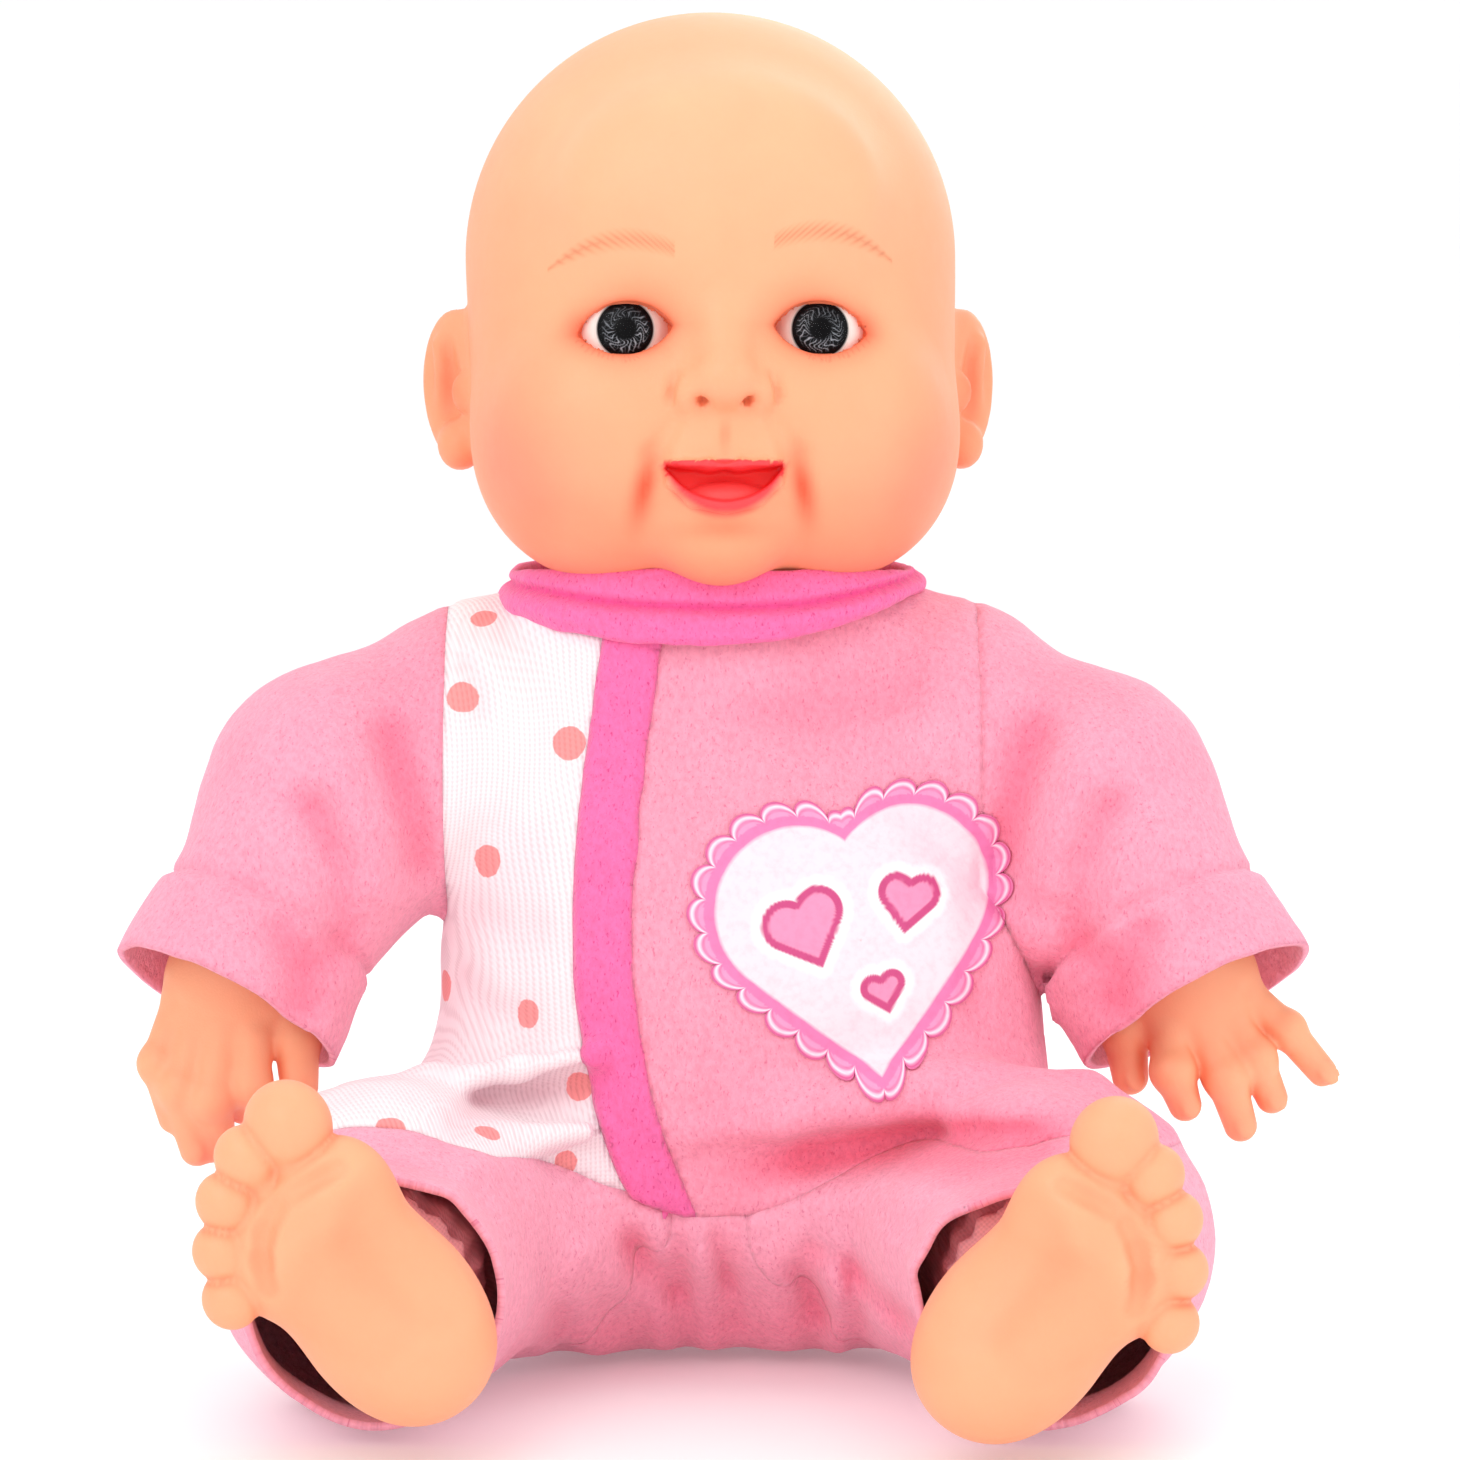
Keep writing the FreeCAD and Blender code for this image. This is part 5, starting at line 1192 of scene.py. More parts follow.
def cloth_colours(points, name):
    """The dye, with painted shade where the cloth is folded in."""
    deep = np.clip(-romper_folds(points) / 3.0, 0, 1)
    if name == "placket":
        return mix(np.tile(HOT_PINK, (len(points), 1)), HOT_SHADE, 0.12 + 0.4 * deep)
    if name == "bodice_right_front":
        return mix(np.tile(WHITE, (len(points), 1)), WHITE_SHADE, 0.15 + 0.75 * deep)
    base = np.tile(PINK, (len(points), 1))
    if "trouser" in name or name == "seat_panel":
        base = mix(base, PINK_SOFT, np.full(len(points), 0.8))
        # painted shade low down, between the legs
        low = np.clip((26 - points[:, 2]) / 18, 0, 1) * np.clip((40 - np.abs(points[:, 0])) / 20, 0, 1)
        base = mix(base, PINK_SHADE, 0.4 * low)
    return mix(base, PINK_SHADE, 0.6 * deep)


def thicken(obj, thick, offset=-1):
    """Gives a skin its thickness."""
    change = obj.modifiers.new("thick", "SOLIDIFY")
    change.thickness = thick * MM
    change.offset = offset
    apply_changes(obj)


def apply_changes(obj):
    """Puts the result of an object's modifiers into its own mesh."""
    view = bpy.context.evaluated_depsgraph_get()
    finished = bpy.data.meshes.new_from_object(obj.evaluated_get(view))
    obj.modifiers.clear()
    obj.data = finished
    obj.data.shade_smooth()


def mark_rest(obj, points):
    """Remembers where each point of the cloth lies."""
    layer = obj.data.attributes.new("rest", "FLOAT_VECTOR", "POINT")
    layer.data.foreach_set("vector", (points * MM).astype(np.float32).ravel())


def sewn(name, points, quads):
    """One piece of the romper from its faces."""
    used, faces = np.unique(quads, return_inverse=True)
    ours = points[used]
    piece = make_object(name, ours, faces.reshape(-1, 4))
    paint(piece, cloth_colours(ours, name))
    mark_rest(piece, ours)
    thicken(piece, CLOTH)
    return piece


# slot, flat size and cut area in metres, and how each piece of the romper is worn
ROMPER_PIECES = {
    "bodice_right_front": ("white_jersey", (0.075, 0.12), 0.0063, "gathered"),
    "bodice_left_front": ("pink_fleece", (0.105, 0.12), 0.0093, "gathered"),
    "bodice_right_back": ("pink_fleece", (0.07, 0.09), 0.0052, "stretched"),
    "bodice_left_back": ("pink_fleece", (0.07, 0.09), 0.0052, "stretched"),
    "placket": ("hot_pink_fleece", (0.0115, 0.112), 0.00128, "stretched"),
    "seat_panel": ("pink_fleece", (0.12, 0.12), 0.012, "stretched"),
    "left_sleeve": ("pink_fleece", (0.135, 0.085), 0.0096, "gathered"),
    "right_sleeve": ("pink_fleece", (0.135, 0.085), 0.0096, "gathered"),
    "left_trouser_leg": ("pink_fleece", (0.15, 0.085), 0.01, "gathered"),
    "right_trouser_leg": ("pink_fleece", (0.15, 0.085), 0.01, "gathered"),
}


def follow_leg(obj):
    """Puts the piece's placement into its own mesh."""
    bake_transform(obj)


def make_romper():
    step = 1.1
    points, quads = solid_from(romper_field, (-112, -112, -3), (112, 46, 142), step)
    centres = points[quads].mean(axis=1)
    piece_of_face = romper_classes(centres)
    points = tidy_edges(points, quads, piece_of_face)
    plain, hot = fleece("pink_fleece"), fleece("hot_pink_fleece", (0.8, 0.4, 0.62))
    for name, (slot, flat, area, held) in ROMPER_PIECES.items():
        chosen = piece_of_face == name
        piece = sewn(name, points, quads[chosen])
        if slot == "white_jersey":
            dots = salmon_dots(points, np.unique(quads[chosen]))
            piece.data.materials.append(jersey("white_jersey", dots))
        else:
            piece.data.materials.append(hot if slot == "hot_pink_fleece" else plain)
        if "sleeve" in name:
            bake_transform(piece)
        elif "trouser" in name or "front" in name:
            follow_leg(piece)
        else:
            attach(piece, "torso")
        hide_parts(name)


# ---------------------------------------------------------------- heart print

HEART_TIP = vec(29.0, 55.5)
HEART_LEAN = math.radians(9)
HEART_SCALE = 39.5
HEART_MIDDLE = 0.58
SCALLOPS = 27


def heart_outside(u, v):
    """Distance outside a heart whose point is at the origin and whose width is about 1.2."""
    u = np.abs(u)
    lobe = np.hypot(u - 0.25, v - 0.75) - math.sqrt(2) / 4
    half = 0.5 * np.maximum(u + v, 0)
    near = np.minimum(np.hypot(u, v - 1), np.hypot(u - half, v - half))
    return np.where(u + v > 1, lobe, near * np.sign(u - v))


def heart_reach(angle):
    """Distance from the heart's middle to its edge in each direction."""
    low, high = np.zeros(len(angle)), np.full(len(angle), 1.5)
    for _ in range(30):
        middle = (low + high) / 2
        u, v = middle * np.cos(angle), HEART_MIDDLE + middle * np.sin(angle)
        outside = heart_outside(u, v) > 0
        low, high = np.where(outside, low, middle), np.where(outside, middle, high)
    return low


def heart_frame(u, v):
    """From the print's own plane, in millimetres from the tip, to x and z."""
    c, s = math.cos(HEART_LEAN), math.sin(HEART_LEAN)
    return HEART_TIP[0] + u * c - v * s, HEART_TIP[1] + u * s + v * c


def on_front(x, z, lift):
    """The place on the romper's front at x and z, lifted a little outwards."""
    low, high = np.full(len(x), -60.0), np.full(len(x), 5.0)
    for _ in range(26):
        middle = (low + high) / 2
        inside = romper_field(np.stack([x, middle, z], 1)) < 0
        low, high = np.where(inside, low, middle), np.where(inside, middle, high)
    points = np.stack([x, low, z], 1)
    out = slope(romper_field, points, 0.6)
    return points + lift * out / np.linalg.norm(out, axis=1)[:, None]


def scallop(along):
    """How far the lace edge stands out of the heart, in millimetres."""
    return 2.5 + 2.5 * np.sqrt(np.abs(np.sin(math.pi * SCALLOPS * along)))


def motif(u, v):
    """Three little hearts in the middle of the print, in place of any lettering."""
    best = np.full(len(u), 9.0)
    hearts = ((-7.0, 19.5, 12.0, 0.25), (7.5, 22.5, 9.0, -0.3), (3.0, 10.0, 6.5, 0.1))
    for at_u, at_v, size, lean in hearts:
        c, s = math.cos(lean), math.sin(lean)
        du, dv = u - at_u, v - at_v
        best = np.minimum(best, size * heart_outside((du * c + dv * s) / size, (dv * c - du * s) / size))
    return best


def make_heart_print():
    turns = 1080
    fine = np.linspace(0, 2 * math.pi, 4 * turns, endpoint=False)
    reach = heart_reach(fine) * HEART_SCALE
    outline = np.stack([reach * np.cos(fine), reach * np.sin(fine)], 1)
    steps = np.linalg.norm(outline - np.roll(outline, 1, axis=0), axis=1)
    length = np.cumsum(steps)
    along = np.arange(turns) / turns
    angle = np.interp(along * length[-1], length, fine)
    reach = heart_reach(angle) * HEART_SCALE
    edge = scallop(along)
    inner = np.concatenate([[0.0005], np.linspace(0.02, 1, 54)])
    outer = np.linspace(0, 1, 17)[1:]
    rings = [reach * t for t in inner] + [reach + edge * t for t in outer]
    radius = np.array(rings)
    u = radius * np.cos(angle)
    v = HEART_MIDDLE * HEART_SCALE + radius * np.sin(angle)
    u, v = u.ravel(), v.ravel()
    beyond = (radius - reach).ravel()
    to_edge = (reach + edge - radius).ravel()
    x, z = heart_frame(u, v)
    points = on_front(x, z, 0.3)
    cream, ring_pink, deep = linear(255, 228, 236), linear(238, 128, 184), linear(216, 70, 140)
    colour = np.tile(cream, (len(u), 1))
    little = motif(u, v)
    colour = mix(colour, linear(255, 250, 252), np.clip(1.5 - np.abs(little - 0.5), 0, 1))
    colour = mix(colour, linear(206, 72, 132), np.clip(0.5 - little / 0.25, 0, 1))
    colour = mix(colour, linear(244, 150, 190), np.clip(0.5 - (little + 1.3) / 0.25, 0, 1))
    colour = mix(colour, ring_pink, np.clip(beyond / 0.25 + 0.5, 0, 1))
    lace = beyond > 2.0
    colour[lace] = linear(250, 158, 202)
    line = ring(to_edge[lace], 1.0, 0.28)
    colour[lace] = mix(colour[lace], linear(255, 240, 248), line)
    colour[lace] = mix(colour[lace], deep, 0.9 * ring(to_edge[lace], 0.25, 0.3))
    colour[lace] = mix(colour[lace], deep, 0.6 * ring(to_edge[lace], 1.7, 0.22))
    index = np.arange(len(u)).reshape(radius.shape)
    faces = []
    for a, b in zip(index[:-1], index[1:]):
        faces.append(np.stack([a, np.roll(a, -1), np.roll(b, -1), b], 1))
    patch = make_object("heart_print", points, np.concatenate(faces))
    paint(patch, colour)
    mark_rest(patch, points)
    thicken(patch, 0.25)
    made, tree, shader = new_material("heart_ink", 0.55)
    worn = ramp(tree, cloth_noise(tree, 700, 4), [(0.3, (0.94, 0.9, 0.92)), (0.55, (1, 1, 1))])
    tree.links.new(multiply(tree, painted(tree), worn), shader.inputs["Base Color"])
    bump(tree, shader, cloth_noise(tree, 500, 3), 0.00025, 0.6)
    patch.data.materials.append(made)
    follow_leg(patch)
    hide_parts("heart_print")


# ---------------------------------------------------------------- collar


def make_collar():
    """A folded band of fleece round the neck: two soft rolls with a crease between them."""
    around, across = ((560, 72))
    a = np.arange(around) * 2 * math.pi / around
    t = np.arange(across) * 2 * math.pi / across
    a, t = np.meshgrid(a, t, indexing="ij")
    a, t = a.ravel(), t.ravel()
    front = np.clip(-np.sin(a), 0, 1)
    tall = 5.4 + 0.5 * front
    lift = neckline_lift(36 * np.cos(a))
    out = 1.75 * np.cos(t)
    up = (tall - lift / 2) * np.sin(t) + 0.9 * front * (1 + np.sin(t))
    pinch = ring(up, 1.3 + 0.5 * np.sin(a * 2 + 1), 0.9) * np.clip(np.cos(t), 0, 1)
    out = out - 1.25 * pinch + 0.9 * ring(up, -2.0, 2.4) * np.clip(np.cos(t), 0, 1)
    out += 0.55 * ring(up, -4.6, 0.7) * np.clip(np.cos(t), 0, 1)
    flare = -0.16 * up
    wide = 35.6 + out + flare
    deep = 28.2 + out + flare
    base = np.stack([wide * np.cos(a), 2 + deep * np.sin(a), np.zeros(len(a))], 1)
    rise = (base[:, 1] - 2) * NECKLINE_RISE
    wave = 0.5 * np.sin(3 * a + 0.4) + 0.35 * np.sin(7 * a)
    base[:, 2] = NECKLINE + 3.8 + rise + up + 0.4 * wave + lift / 2
    jitter = 0.35 * rough_noise(base, 9, 40, 2) + 0.1 * value_noise(base, 2.2, 45)
    normal = np.stack([np.cos(a) * np.cos(t), np.sin(a) * np.cos(t), np.sin(t)], 1)
    points = base + jitter[:, None] * normal
    index = np.arange(around * across).reshape(around, across)
    ahead, side = np.roll(index, -1, axis=0), np.roll(index, -1, axis=1)
    corner = np.roll(ahead, -1, axis=1)
    faces = np.stack([index, ahead, corner, side], -1).reshape(-1, 4)
    band = make_object("collar", points, faces)
    colour = mix(np.tile(HOT_PINK, (len(points), 1)), HOT_SHADE, 0.1 + 0.75 * pinch)
    paint(band, colour)
    mark_rest(band, points)
    band.data.materials.append(fleece("collar_fleece", (0.8, 0.4, 0.62)))
    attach(band, "torso")
    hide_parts("collar")


# ---------------------------------------------------------------- hands

SLEEVE_DOWN = (ARM[2] - ARM[1]) / np.linalg.norm(ARM[2] - ARM[1])
HAND_AT = vec(84.5, -20, 64.5) - 5.0 * SLEEVE_DOWN


def frame_from(tips, back):
    """Axes as columns: x across, y out of the back, z to the tips."""
    z = tips / np.linalg.norm(tips)
    y = back - z * (back @ z)
    y = y / np.linalg.norm(y)
    return np.stack([np.cross(z, y), y, z], 1)


HAND_AXES = frame_from(vec(0.22, -0.20, -0.955), vec(0.25, -0.96, 0.12))

# joints of each finger in the hand's own axes, x towards the thumb, with its thickness
HANDS = {
    "left": {
        "index": ([(4.8, 0.5, 8), (6.2, 1.6, 15), (4.6, -0.6, 21)], (3.7, 3.5, 2.9)),
        "middle": ([(-1.0, 1.0, 9), (-2.8, 2.2, 18), (-4.5, -0.8, 26.5)], (3.8, 3.5, 2.9)),
        "ring": ([(-6.0, 0.8, 8), (-9.0, 2.0, 16), (-11.2, -0.6, 23)], (3.6, 3.3, 2.8)),
        "little": ([(-10.0, 0, 4), (-16.0, 1.4, 12), (-21.0, 0.4, 20.5)], (3.5, 3.0, 2.6)),
        "thumb": ([(6.5, -3.0, -2), (11.0, -4.5, 6), (11.6, -5.5, 14.0)], (4.6, 4.0, 3.2)),
    },
    "right": {
        "index": ([(4.6, 0.5, 9), (5.4, -1.5, 17), (3.4, -7.0, 21)], (3.8, 3.6, 3.0)),
        "middle": ([(-0.4, 1.2, 10), (0.0, 1.0, 21), (1.6, -4.6, 28.5)], (3.9, 3.7, 3.0)),
        "ring": ([(-5.0, 1.0, 9), (-5.6, 1.6, 20.5), (-1.6, -2.6, 30)], (3.8, 3.6, 3.0)),
        "little": ([(-9.4, 0, 6), (-10.6, 1.2, 17), (-6.8, -2.0, 25.5)], (3.7, 3.3, 2.8)),
        "thumb": ([(6.8, -3.0, -3), (11.0, -4.0, 7), (13.2, -5.4, 15.5)], (4.8, 4.1, 3.3)),
    },
}


def hand_field(q, fingers):
    """A baby's hand in its own axes."""
    palm = egg(q, vec(-2.0, -0.6, 0.5), vec(12.0, 7.6, 12.5))
    palm = smooth_min(palm, rod(q, vec(0, -1, -18), vec(-0.5, -1, -6), 9.3, 8.6), 5)
    pad = egg(q, vec(6.0, -3.6, 0), vec(5.5, 5.0, 8.5))
    palm = smooth_min(palm, pad, 4)
    hand = palm
    for joints, radii in fingers.values():
        points = [vec(*joint) for joint in joints]
        finger = chain(q, points, radii, 1.2)
        middle = points[1] + vec(0, 0.4, 0)
        finger = smooth_min(finger, ball(q, middle, radii[1] + 0.25), 1.6)
        hand = smooth_min(hand, finger, 1.7)
    for joints, radii in fingers.values():
        base, knuckle, tip = (vec(*joint) for joint in joints)
        dimple = base + vec(0, radii[0] + 2.6, 0.5)
        hand = smooth_max(hand, -ball(q, dimple, 0.9), 2.0)
        out = (tip - knuckle) / np.linalg.norm(tip - knuckle)
        bed = tip + 0.9 * out + vec(0, radii[2] * 0.93, 0)
        nail = egg(q, bed, vec(1.75, 0.55, 2.0), frame_from(out, vec(0, 1, 0)))
        hand = smooth_min(hand, nail, 0.5)
    return hand


def skin_colours(field, q, size, depth=1.0):
    """Peach with painted shade in the creases, found from how hollow the surface is, and painted highlight
    on the bulges.
    """
    out = slope(field, q, 0.2)
    out = out / np.linalg.norm(out, axis=1)[:, None]
    colour = np.tile(PEACH, (len(q), 1))
    # painted shade in hollows, painted highlight on bulges
    for reach, amount, shade in ((2.6, 0.75, PEACH_PAINTED_SHADE), (1.1, 0.55, CREASE_PAINTED_SHADE)):
        reach = reach * size
        hollow = np.clip(1 - field(q + out * reach) / reach, 0, 1)
        colour = mix(colour, shade, depth * amount * hollow**1.3)
        bulge = np.clip(1 + field(q - out * reach) / reach, 0, 1)
        colour = mix(colour, PEACH_PAINTED_HIGHLIGHT, 0.35 * bulge)
    return colour


def make_hand(side_name, sign):
    fingers = HANDS[side_name]

    def field(q):
        return hand_field(q, fingers)

    q, quads = solid_from(field, (-28, -14, -28), (21, 13, 36), 0.62)
    points = (q @ HAND_AXES.T + HAND_AT) * vec(sign, 1, 1)
    if sign < 0:
        quads = quads[:, ::-1]
    hand = make_object(side_name + "_hand", points, quads)
    colour = skin_colours(field, q, 1.0, 0.55)
    for joints, _ in fingers.values():
        tip = vec(*joints[2])
        colour = mix(colour, BLUSH, 0.16 * np.clip(1.6 - np.linalg.norm(q - tip, axis=1) / 4, 0, 1))
    paint(hand, colour)
    hand.data.materials.append(vinyl(side_name + "_hand"))
    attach(hand, side_name + "_arm")
    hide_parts(side_name + "_hand")


# ---------------------------------------------------------------- feet

HEEL = ANKLE + vec(-9.5, -18.5, -8.0)
FOOT_ROLL = math.radians(35)
FOOT_AXES = np.array([
    (-math.cos(FOOT_ROLL), 0, math.sin(FOOT_ROLL)),
    (0, -1, 0),
    (math.sin(FOOT_ROLL), 0, math.cos(FOOT_ROLL)),
])
# toes from the big one, in the foot's own axes: x inwards, y out of the sole, z to the toes
FEET = {
    "left": ((0, 0, 0), [(5.8, 1.0, 42.5, 7.0), (-2.4, 2.0, 41.6, 5.0), (-9.2, 2.2, 37.6, 4.7),
                         (-14.8, 2.0, 31.4, 4.6), (-18.6, 1.6, 23.6, 4.6)]),
    "right": ((0, 0, 3.5), [(5.0, 1.0, 42.8, 7.0), (-3.4, 2.0, 42.4, 5.1), (-10.2, 2.2, 38.4, 4.8),
                            (-15.4, 2.0, 32.2, 4.7), (-18.8, 1.6, 25.0, 4.6)]),
}


def foot_field(q, toes):
    """A baby's foot seen from its sole."""
    heel = egg(q, vec(0.8, -2.0, 1.0), vec(12.6, 11.0, 12.2))
    instep = egg(q, vec(-1.0, -4.0, 15), vec(13.0, 9.0, 20))
    pad = egg(q, vec(-3.8, 0.2, 26), vec(15.2, 7.0, 11.6), turned(y=14))
    under_big = egg(q, vec(5.4, 1.2, 30), vec(8.6, 6.4, 8.6))
    foot = smooth_min(smooth_min(heel, instep, 9), pad, 8)
    foot = smooth_min(foot, under_big, 5)
    foot = smooth_max(foot, -egg(q, vec(12.5, 9.4, 15.5), vec(9, 5.0, 10)), 7)
    foot = smooth_max(foot, -egg(q, vec(-3, 11.2, 14.5), vec(8.5, 4.6, 8)), 6)
    ankle = rod(q, vec(-3.2, -22, 12), vec(0, -7, 9), 12.0, 12.4)
    foot = smooth_min(foot, ankle, 7)
    for x, y, z, radius in toes:
        tip = vec(x, y, z)
        root = tip + (vec(-3.5, -2.5, 22) - tip) * 0.27
        toe = smooth_min(egg(q, tip, vec(radius, radius, radius * 1.06)),
                         rod(q, root, tip, radius * 0.72), 1.0)
        foot = smooth_min(foot, toe, 0.9)
    for start, end in zip(toes[1:-1], toes[2:]):
        a = vec(*start[:3]) + (vec(-3.5, 0, 22) - vec(*start[:3])) * 0.42 + vec(0, start[3] + 0.9, 0)
        b = vec(*end[:3]) + (vec(-3.5, 0, 22) - vec(*end[:3])) * 0.42 + vec(0, end[3] + 0.9, 0)
        foot = smooth_max(foot, -rod(q, a, b, 0.9), 2.2)
    x, y, z, radius = toes[0]
    foot = smooth_max(foot, -rod(q, vec(x - 5, 7.8, z - 8.5), vec(x + 3.5, 7.6, z - 9.5), 0.9), 2.2)
    line = chain(q, [vec(9.5, 8.3, 24), vec(3.5, 8.9, 21), vec(-4, 8.9, 22.5)], [0.7, 0.9, 0.5], 0.5)
    foot = smooth_max(foot, -line, 2.4)
    return foot


def make_foot(side_name, sign):
    shift, toes = FEET[side_name]
    heel = HEEL + FOOT_AXES @ vec(*shift)

    def field(q):
        return foot_field(q, toes)

    q, quads = solid_from(field, (-28, -38, -16), (22, 15, 54), 0.72)
    points = (q @ FOOT_AXES.T + heel) * vec(sign, 1, 1)
    if sign < 0:
        quads = quads[:, ::-1]
    foot = make_object(side_name + "_foot", points, quads)
    colour = skin_colours(field, q, 1.2)
    # painted shade in the hollow of the arch
    arch = np.exp(-np.square(np.linalg.norm((q - vec(3, 8, 16)) / vec(9, 8, 9), axis=1)))
    colour = mix(colour, PEACH_PAINTED_SHADE, 0.22 * arch)
    paint(foot, colour)
    foot.data.materials.append(vinyl(side_name + "_foot"))
    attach(foot, side_name + "_leg")
    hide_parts(side_name + "_foot")
# ---------------------------------------------------------------- what lies inside

# colour, darker colour, roughness, metal, grain per metre, bump in metres
INNER_LOOKS = {
    "stuffing": (linear(250, 248, 244), linear(214, 210, 206), 1.0, 0.0, 260, 0.0012),
    "closure_tape": (linear(252, 244, 246), linear(222, 196, 204), 0.95, 0.0, 1500, 0.0006),
    "tie_plastic": (linear(244, 240, 232), linear(220, 214, 204), 0.35, 0.0, 500, 0.00003),
    "case_plastic": (linear(240, 240, 238), linear(216, 216, 214), 0.5, 0.0, 1800, 0.00004),
    "button_plastic": (linear(236, 66, 84), linear(206, 44, 64), 0.35, 0.0, 900, 0.00003),
    "board_green": (linear(36, 122, 70), linear(22, 84, 50), 0.4, 0.0, 420, 0.00005),
    "chip_black": (linear(34, 34, 36), linear(20, 20, 22), 0.6, 0.0, 2200, 0.00003),
    "cone_paper": (linear(58, 56, 54), linear(34, 33, 32), 0.9, 0.0, 700, 0.00015),
    "bright_steel": (linear(206, 208, 212), linear(160, 162, 168), 0.28, 1.0, 600, 0.00002),
    "lead_wire": (linear(196, 34, 34), linear(150, 22, 22), 0.4, 0.0, 800, 0.00003),
}


def inner_look(slot):
    """Grained material of a part that is hidden in use."""
    light, dark, rough, metal, grain, height = INNER_LOOKS[slot]
    made, tree, shader = new_material(slot + "_look", rough, Metallic=metal)
    speck = noise(tree, grain, 4)
    tone = ramp(tree, speck, [(0.34, tuple(dark)), (0.6, tuple(light))])
    cloudy = ramp(tree, noise(tree, grain / 14, 2), [(0.3, (0.93, 0.93, 0.93)), (0.7, (1, 1, 1))])
    tree.links.new(multiply(tree, tone, cloudy), shader.inputs["Base Color"])
    span = {"Value": speck, "To Min": rough * 0.8, "To Max": min(1.0, rough * 1.2)}
    tree.links.new(node(tree, "MapRange", span).outputs["Result"], shader.inputs["Roughness"])
    bump(tree, shader, speck, height)
    return made


# ---------------------------------------------------------------- stuffed limbs and trunk

LIMB_COTTON = linear(255, 196, 204)
LIMB_SHADE = linear(255, 150, 160)


def cotton(name, plain=False):
    """Thin woven cotton: a fine over-and-under weave with slubs. Plain takes one dye for all."""
    made, tree, shader = new_material(name, 0.9, Sheen_Weight=0.1)
    place = node(tree, "SeparateXYZ", {"Vector": node(tree, "TexCoord").outputs["Object"]})
    x, y, z = (place.outputs[axis] for axis in "XYZ")
    warp = sums(tree, "SINE", sums(tree, "MULTIPLY", sums(tree, "ADD", x, y), 2 * math.pi / 0.0009))
    weft = sums(tree, "SINE", sums(tree, "MULTIPLY", sums(tree, "SUBTRACT", z, y), 2 * math.pi / 0.0009))
    weave = sums(tree, "MULTIPLY_ADD", sums(tree, "MULTIPLY", warp, weft), 0.5, 0.5)
    thread = ramp(tree, weave, [(0.1, (0.86, 0.84, 0.84)), (0.7, (1, 1, 1))])
    slubs = ramp(tree, noise(tree, 240, 3), [(0.3, (0.94, 0.92, 0.92)), (0.7, (1, 1, 1))])
    dye = node(tree, "RGB").outputs["Color"] if plain else painted(tree)
    if plain:
        dye.default_value = (*LIMB_COTTON, 1)
    tree.links.new(multiply(tree, multiply(tree, dye, thread), slubs), shader.inputs["Base Color"])
    bump(tree, shader, weave, 0.00012, 0.6)
    return made


def stuffing_core(name, field, low, high, rides, step):
    """The lumpy fibre filling inside a cloth skin."""
    points, quads = solid_from(
        lambda p: field(p) + 1.4 - 0.35 * value_noise(p, 5, 61), low, high, step * 1.4
    )
    core = make_object(name, points, quads)
    core.data.materials.append(inner_look("stuffing"))
    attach(core, rides)
    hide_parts(name)


def limb_cover(name, field, low, high, rides, box_step=1.3):
    """A stuffed cloth skin, shaded in its wrinkles, and its filling."""
    stuffing_core(name.replace("cover", "stuffing"), field, low, high, rides, box_step)
    points, quads = solid_from(field, low, high, box_step)
    skin = make_object(name, points, quads)
    hollow = np.clip(wrinkles(points) / -1.1, 0, 1)
    paint(skin, mix(np.tile(LIMB_COTTON, (len(points), 1)), LIMB_SHADE, 0.25 + 0.5 * hollow))
    skin.data.materials.append(cotton(name))
    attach(skin, rides)
    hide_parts(name)


def wrinkles(p):
    return 0.9 * rough_noise(p, 12, 51, 2) + 0.25 * value_noise(p, 4, 52)


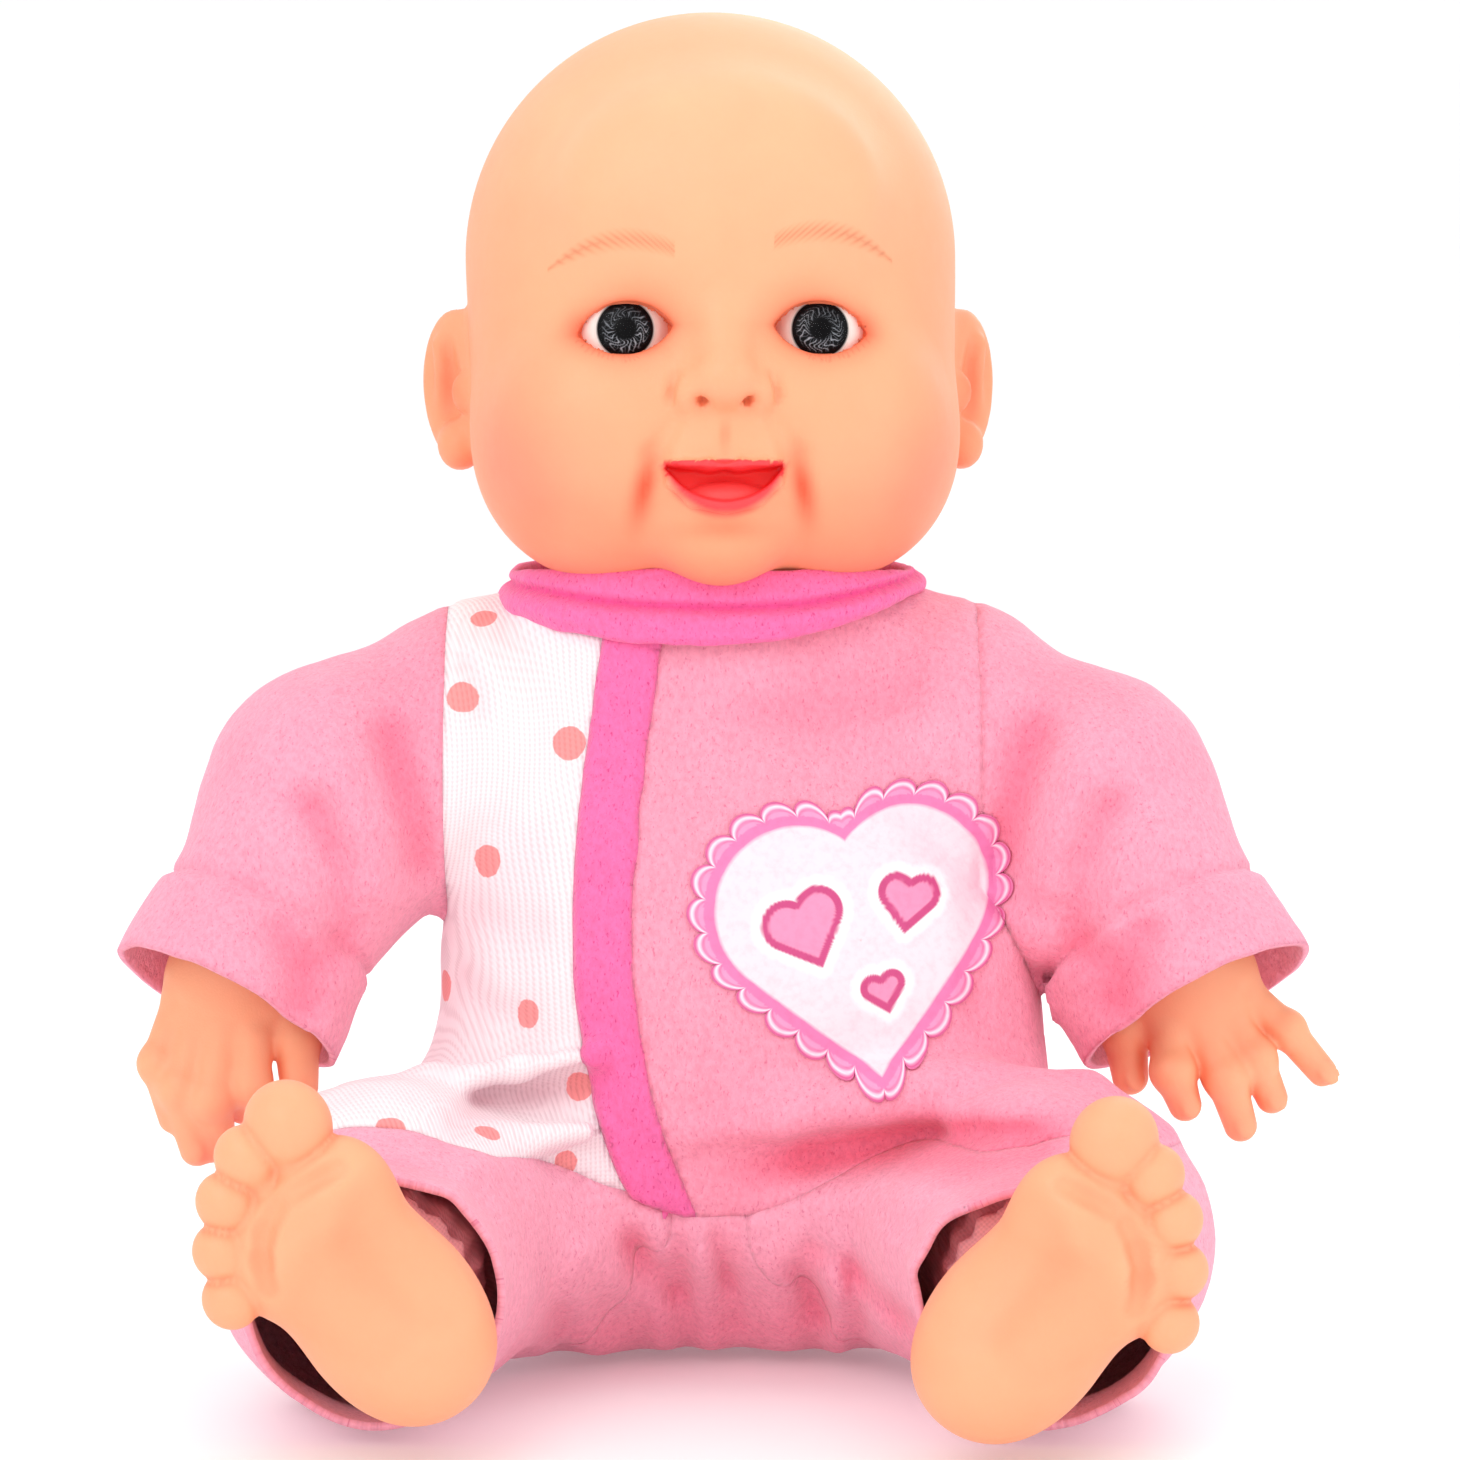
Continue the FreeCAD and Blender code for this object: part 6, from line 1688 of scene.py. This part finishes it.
def gathered_tube(p, sign, points, radii, tied, pleats):
    """A stuffed limb whose cloth gathers in pleats towards the tie at its end."""
    side = p * vec(sign, 1, 1)
    limb = chain(side, points, radii, 8)
    end, before = points[-1], points[-2]
    down = (end - before) / np.linalg.norm(end - before)
    along = (side - end) @ down
    spread = np.cross(down, vec(0, 0, 1))
    spread /= np.linalg.norm(spread)
    turn = np.arctan2((side - end) @ np.cross(spread, down), (side - end) @ spread)
    near_tie = ring(along, tied, 9.0)
    limb += 0.6 * near_tie * np.sin(pleats * turn + 1.3 * np.sin(3 * turn)) + 1.6 * ring(along, tied, 1.6)
    return smooth_max(limb - wrinkles(p), along - 1.5, 1.0)


def make_stuffing_covers():
    """The cloth limbs and trunk under the romper."""
    arm_way = [vec(54, -1, 103), vec(66, -5, 98), vec(81.2, -17.3, 71.5)]
    leg_way = [vec(34, -6, 27.5), vec(54.5, -44, 26.6), vec(54.6, -76.5, 25.0)]
    for side_name, sign in SIDES.items():
        low, high = sorted([40 * sign, 94 * sign])
        limb_cover(
            side_name + "_arm_cover",
            lambda p, s=sign: gathered_tube(p, s, arm_way, [15.5, 15.5, 9.6], -1.5, 15),
            (low, -32, 64), (high, 20, 126), side_name + "_arm",
        )
        low, high = sorted([14 * sign, 80 * sign])
        limb_cover(
            side_name + "_leg_cover",
            lambda p, s=sign: gathered_tube(p, s, leg_way, [17.5, 19.0, 16.0], -1.5, 19),
            (low, -82, 2), (high, 16, 52), side_name + "_leg",
        )
    limb_cover(
        "torso_cover",
        lambda p: smooth_max(
            smooth_max(romper_field(p) + 4.0 - 0.6 * wrinkles(p), np.abs(p[:, 0]) - 41, 5), p[:, 2] - 121, 2
        ),
        (-50, -42, -1), (50, 36, 125), "torso", 1.8,
    )


def dress_inner_parts():
    """Gives every CAD part that is still in use its grained material."""
    looks = {slot: inner_look(slot) for slot in INNER_LOOKS}
    looks["inner_cloth"] = cotton("inner_cloth_look", plain=True)
    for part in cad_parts.values():
        slot = part.data.materials[0].name.split(".")[0]
        if slot in looks and not part.hide_render:
            part.data.materials.clear()
            part.data.materials.append(looks[slot])


# ---------------------------------------------------------------- the whole picture

make_head()
for side_name, sign in SIDES.items():
    make_eye(side_name, sign)
    make_hand(side_name, sign)
    make_foot(side_name, sign)
make_romper()
make_heart_print()
make_collar()
make_stuffing_covers()
dress_inner_parts()
make_stage()
make_camera()
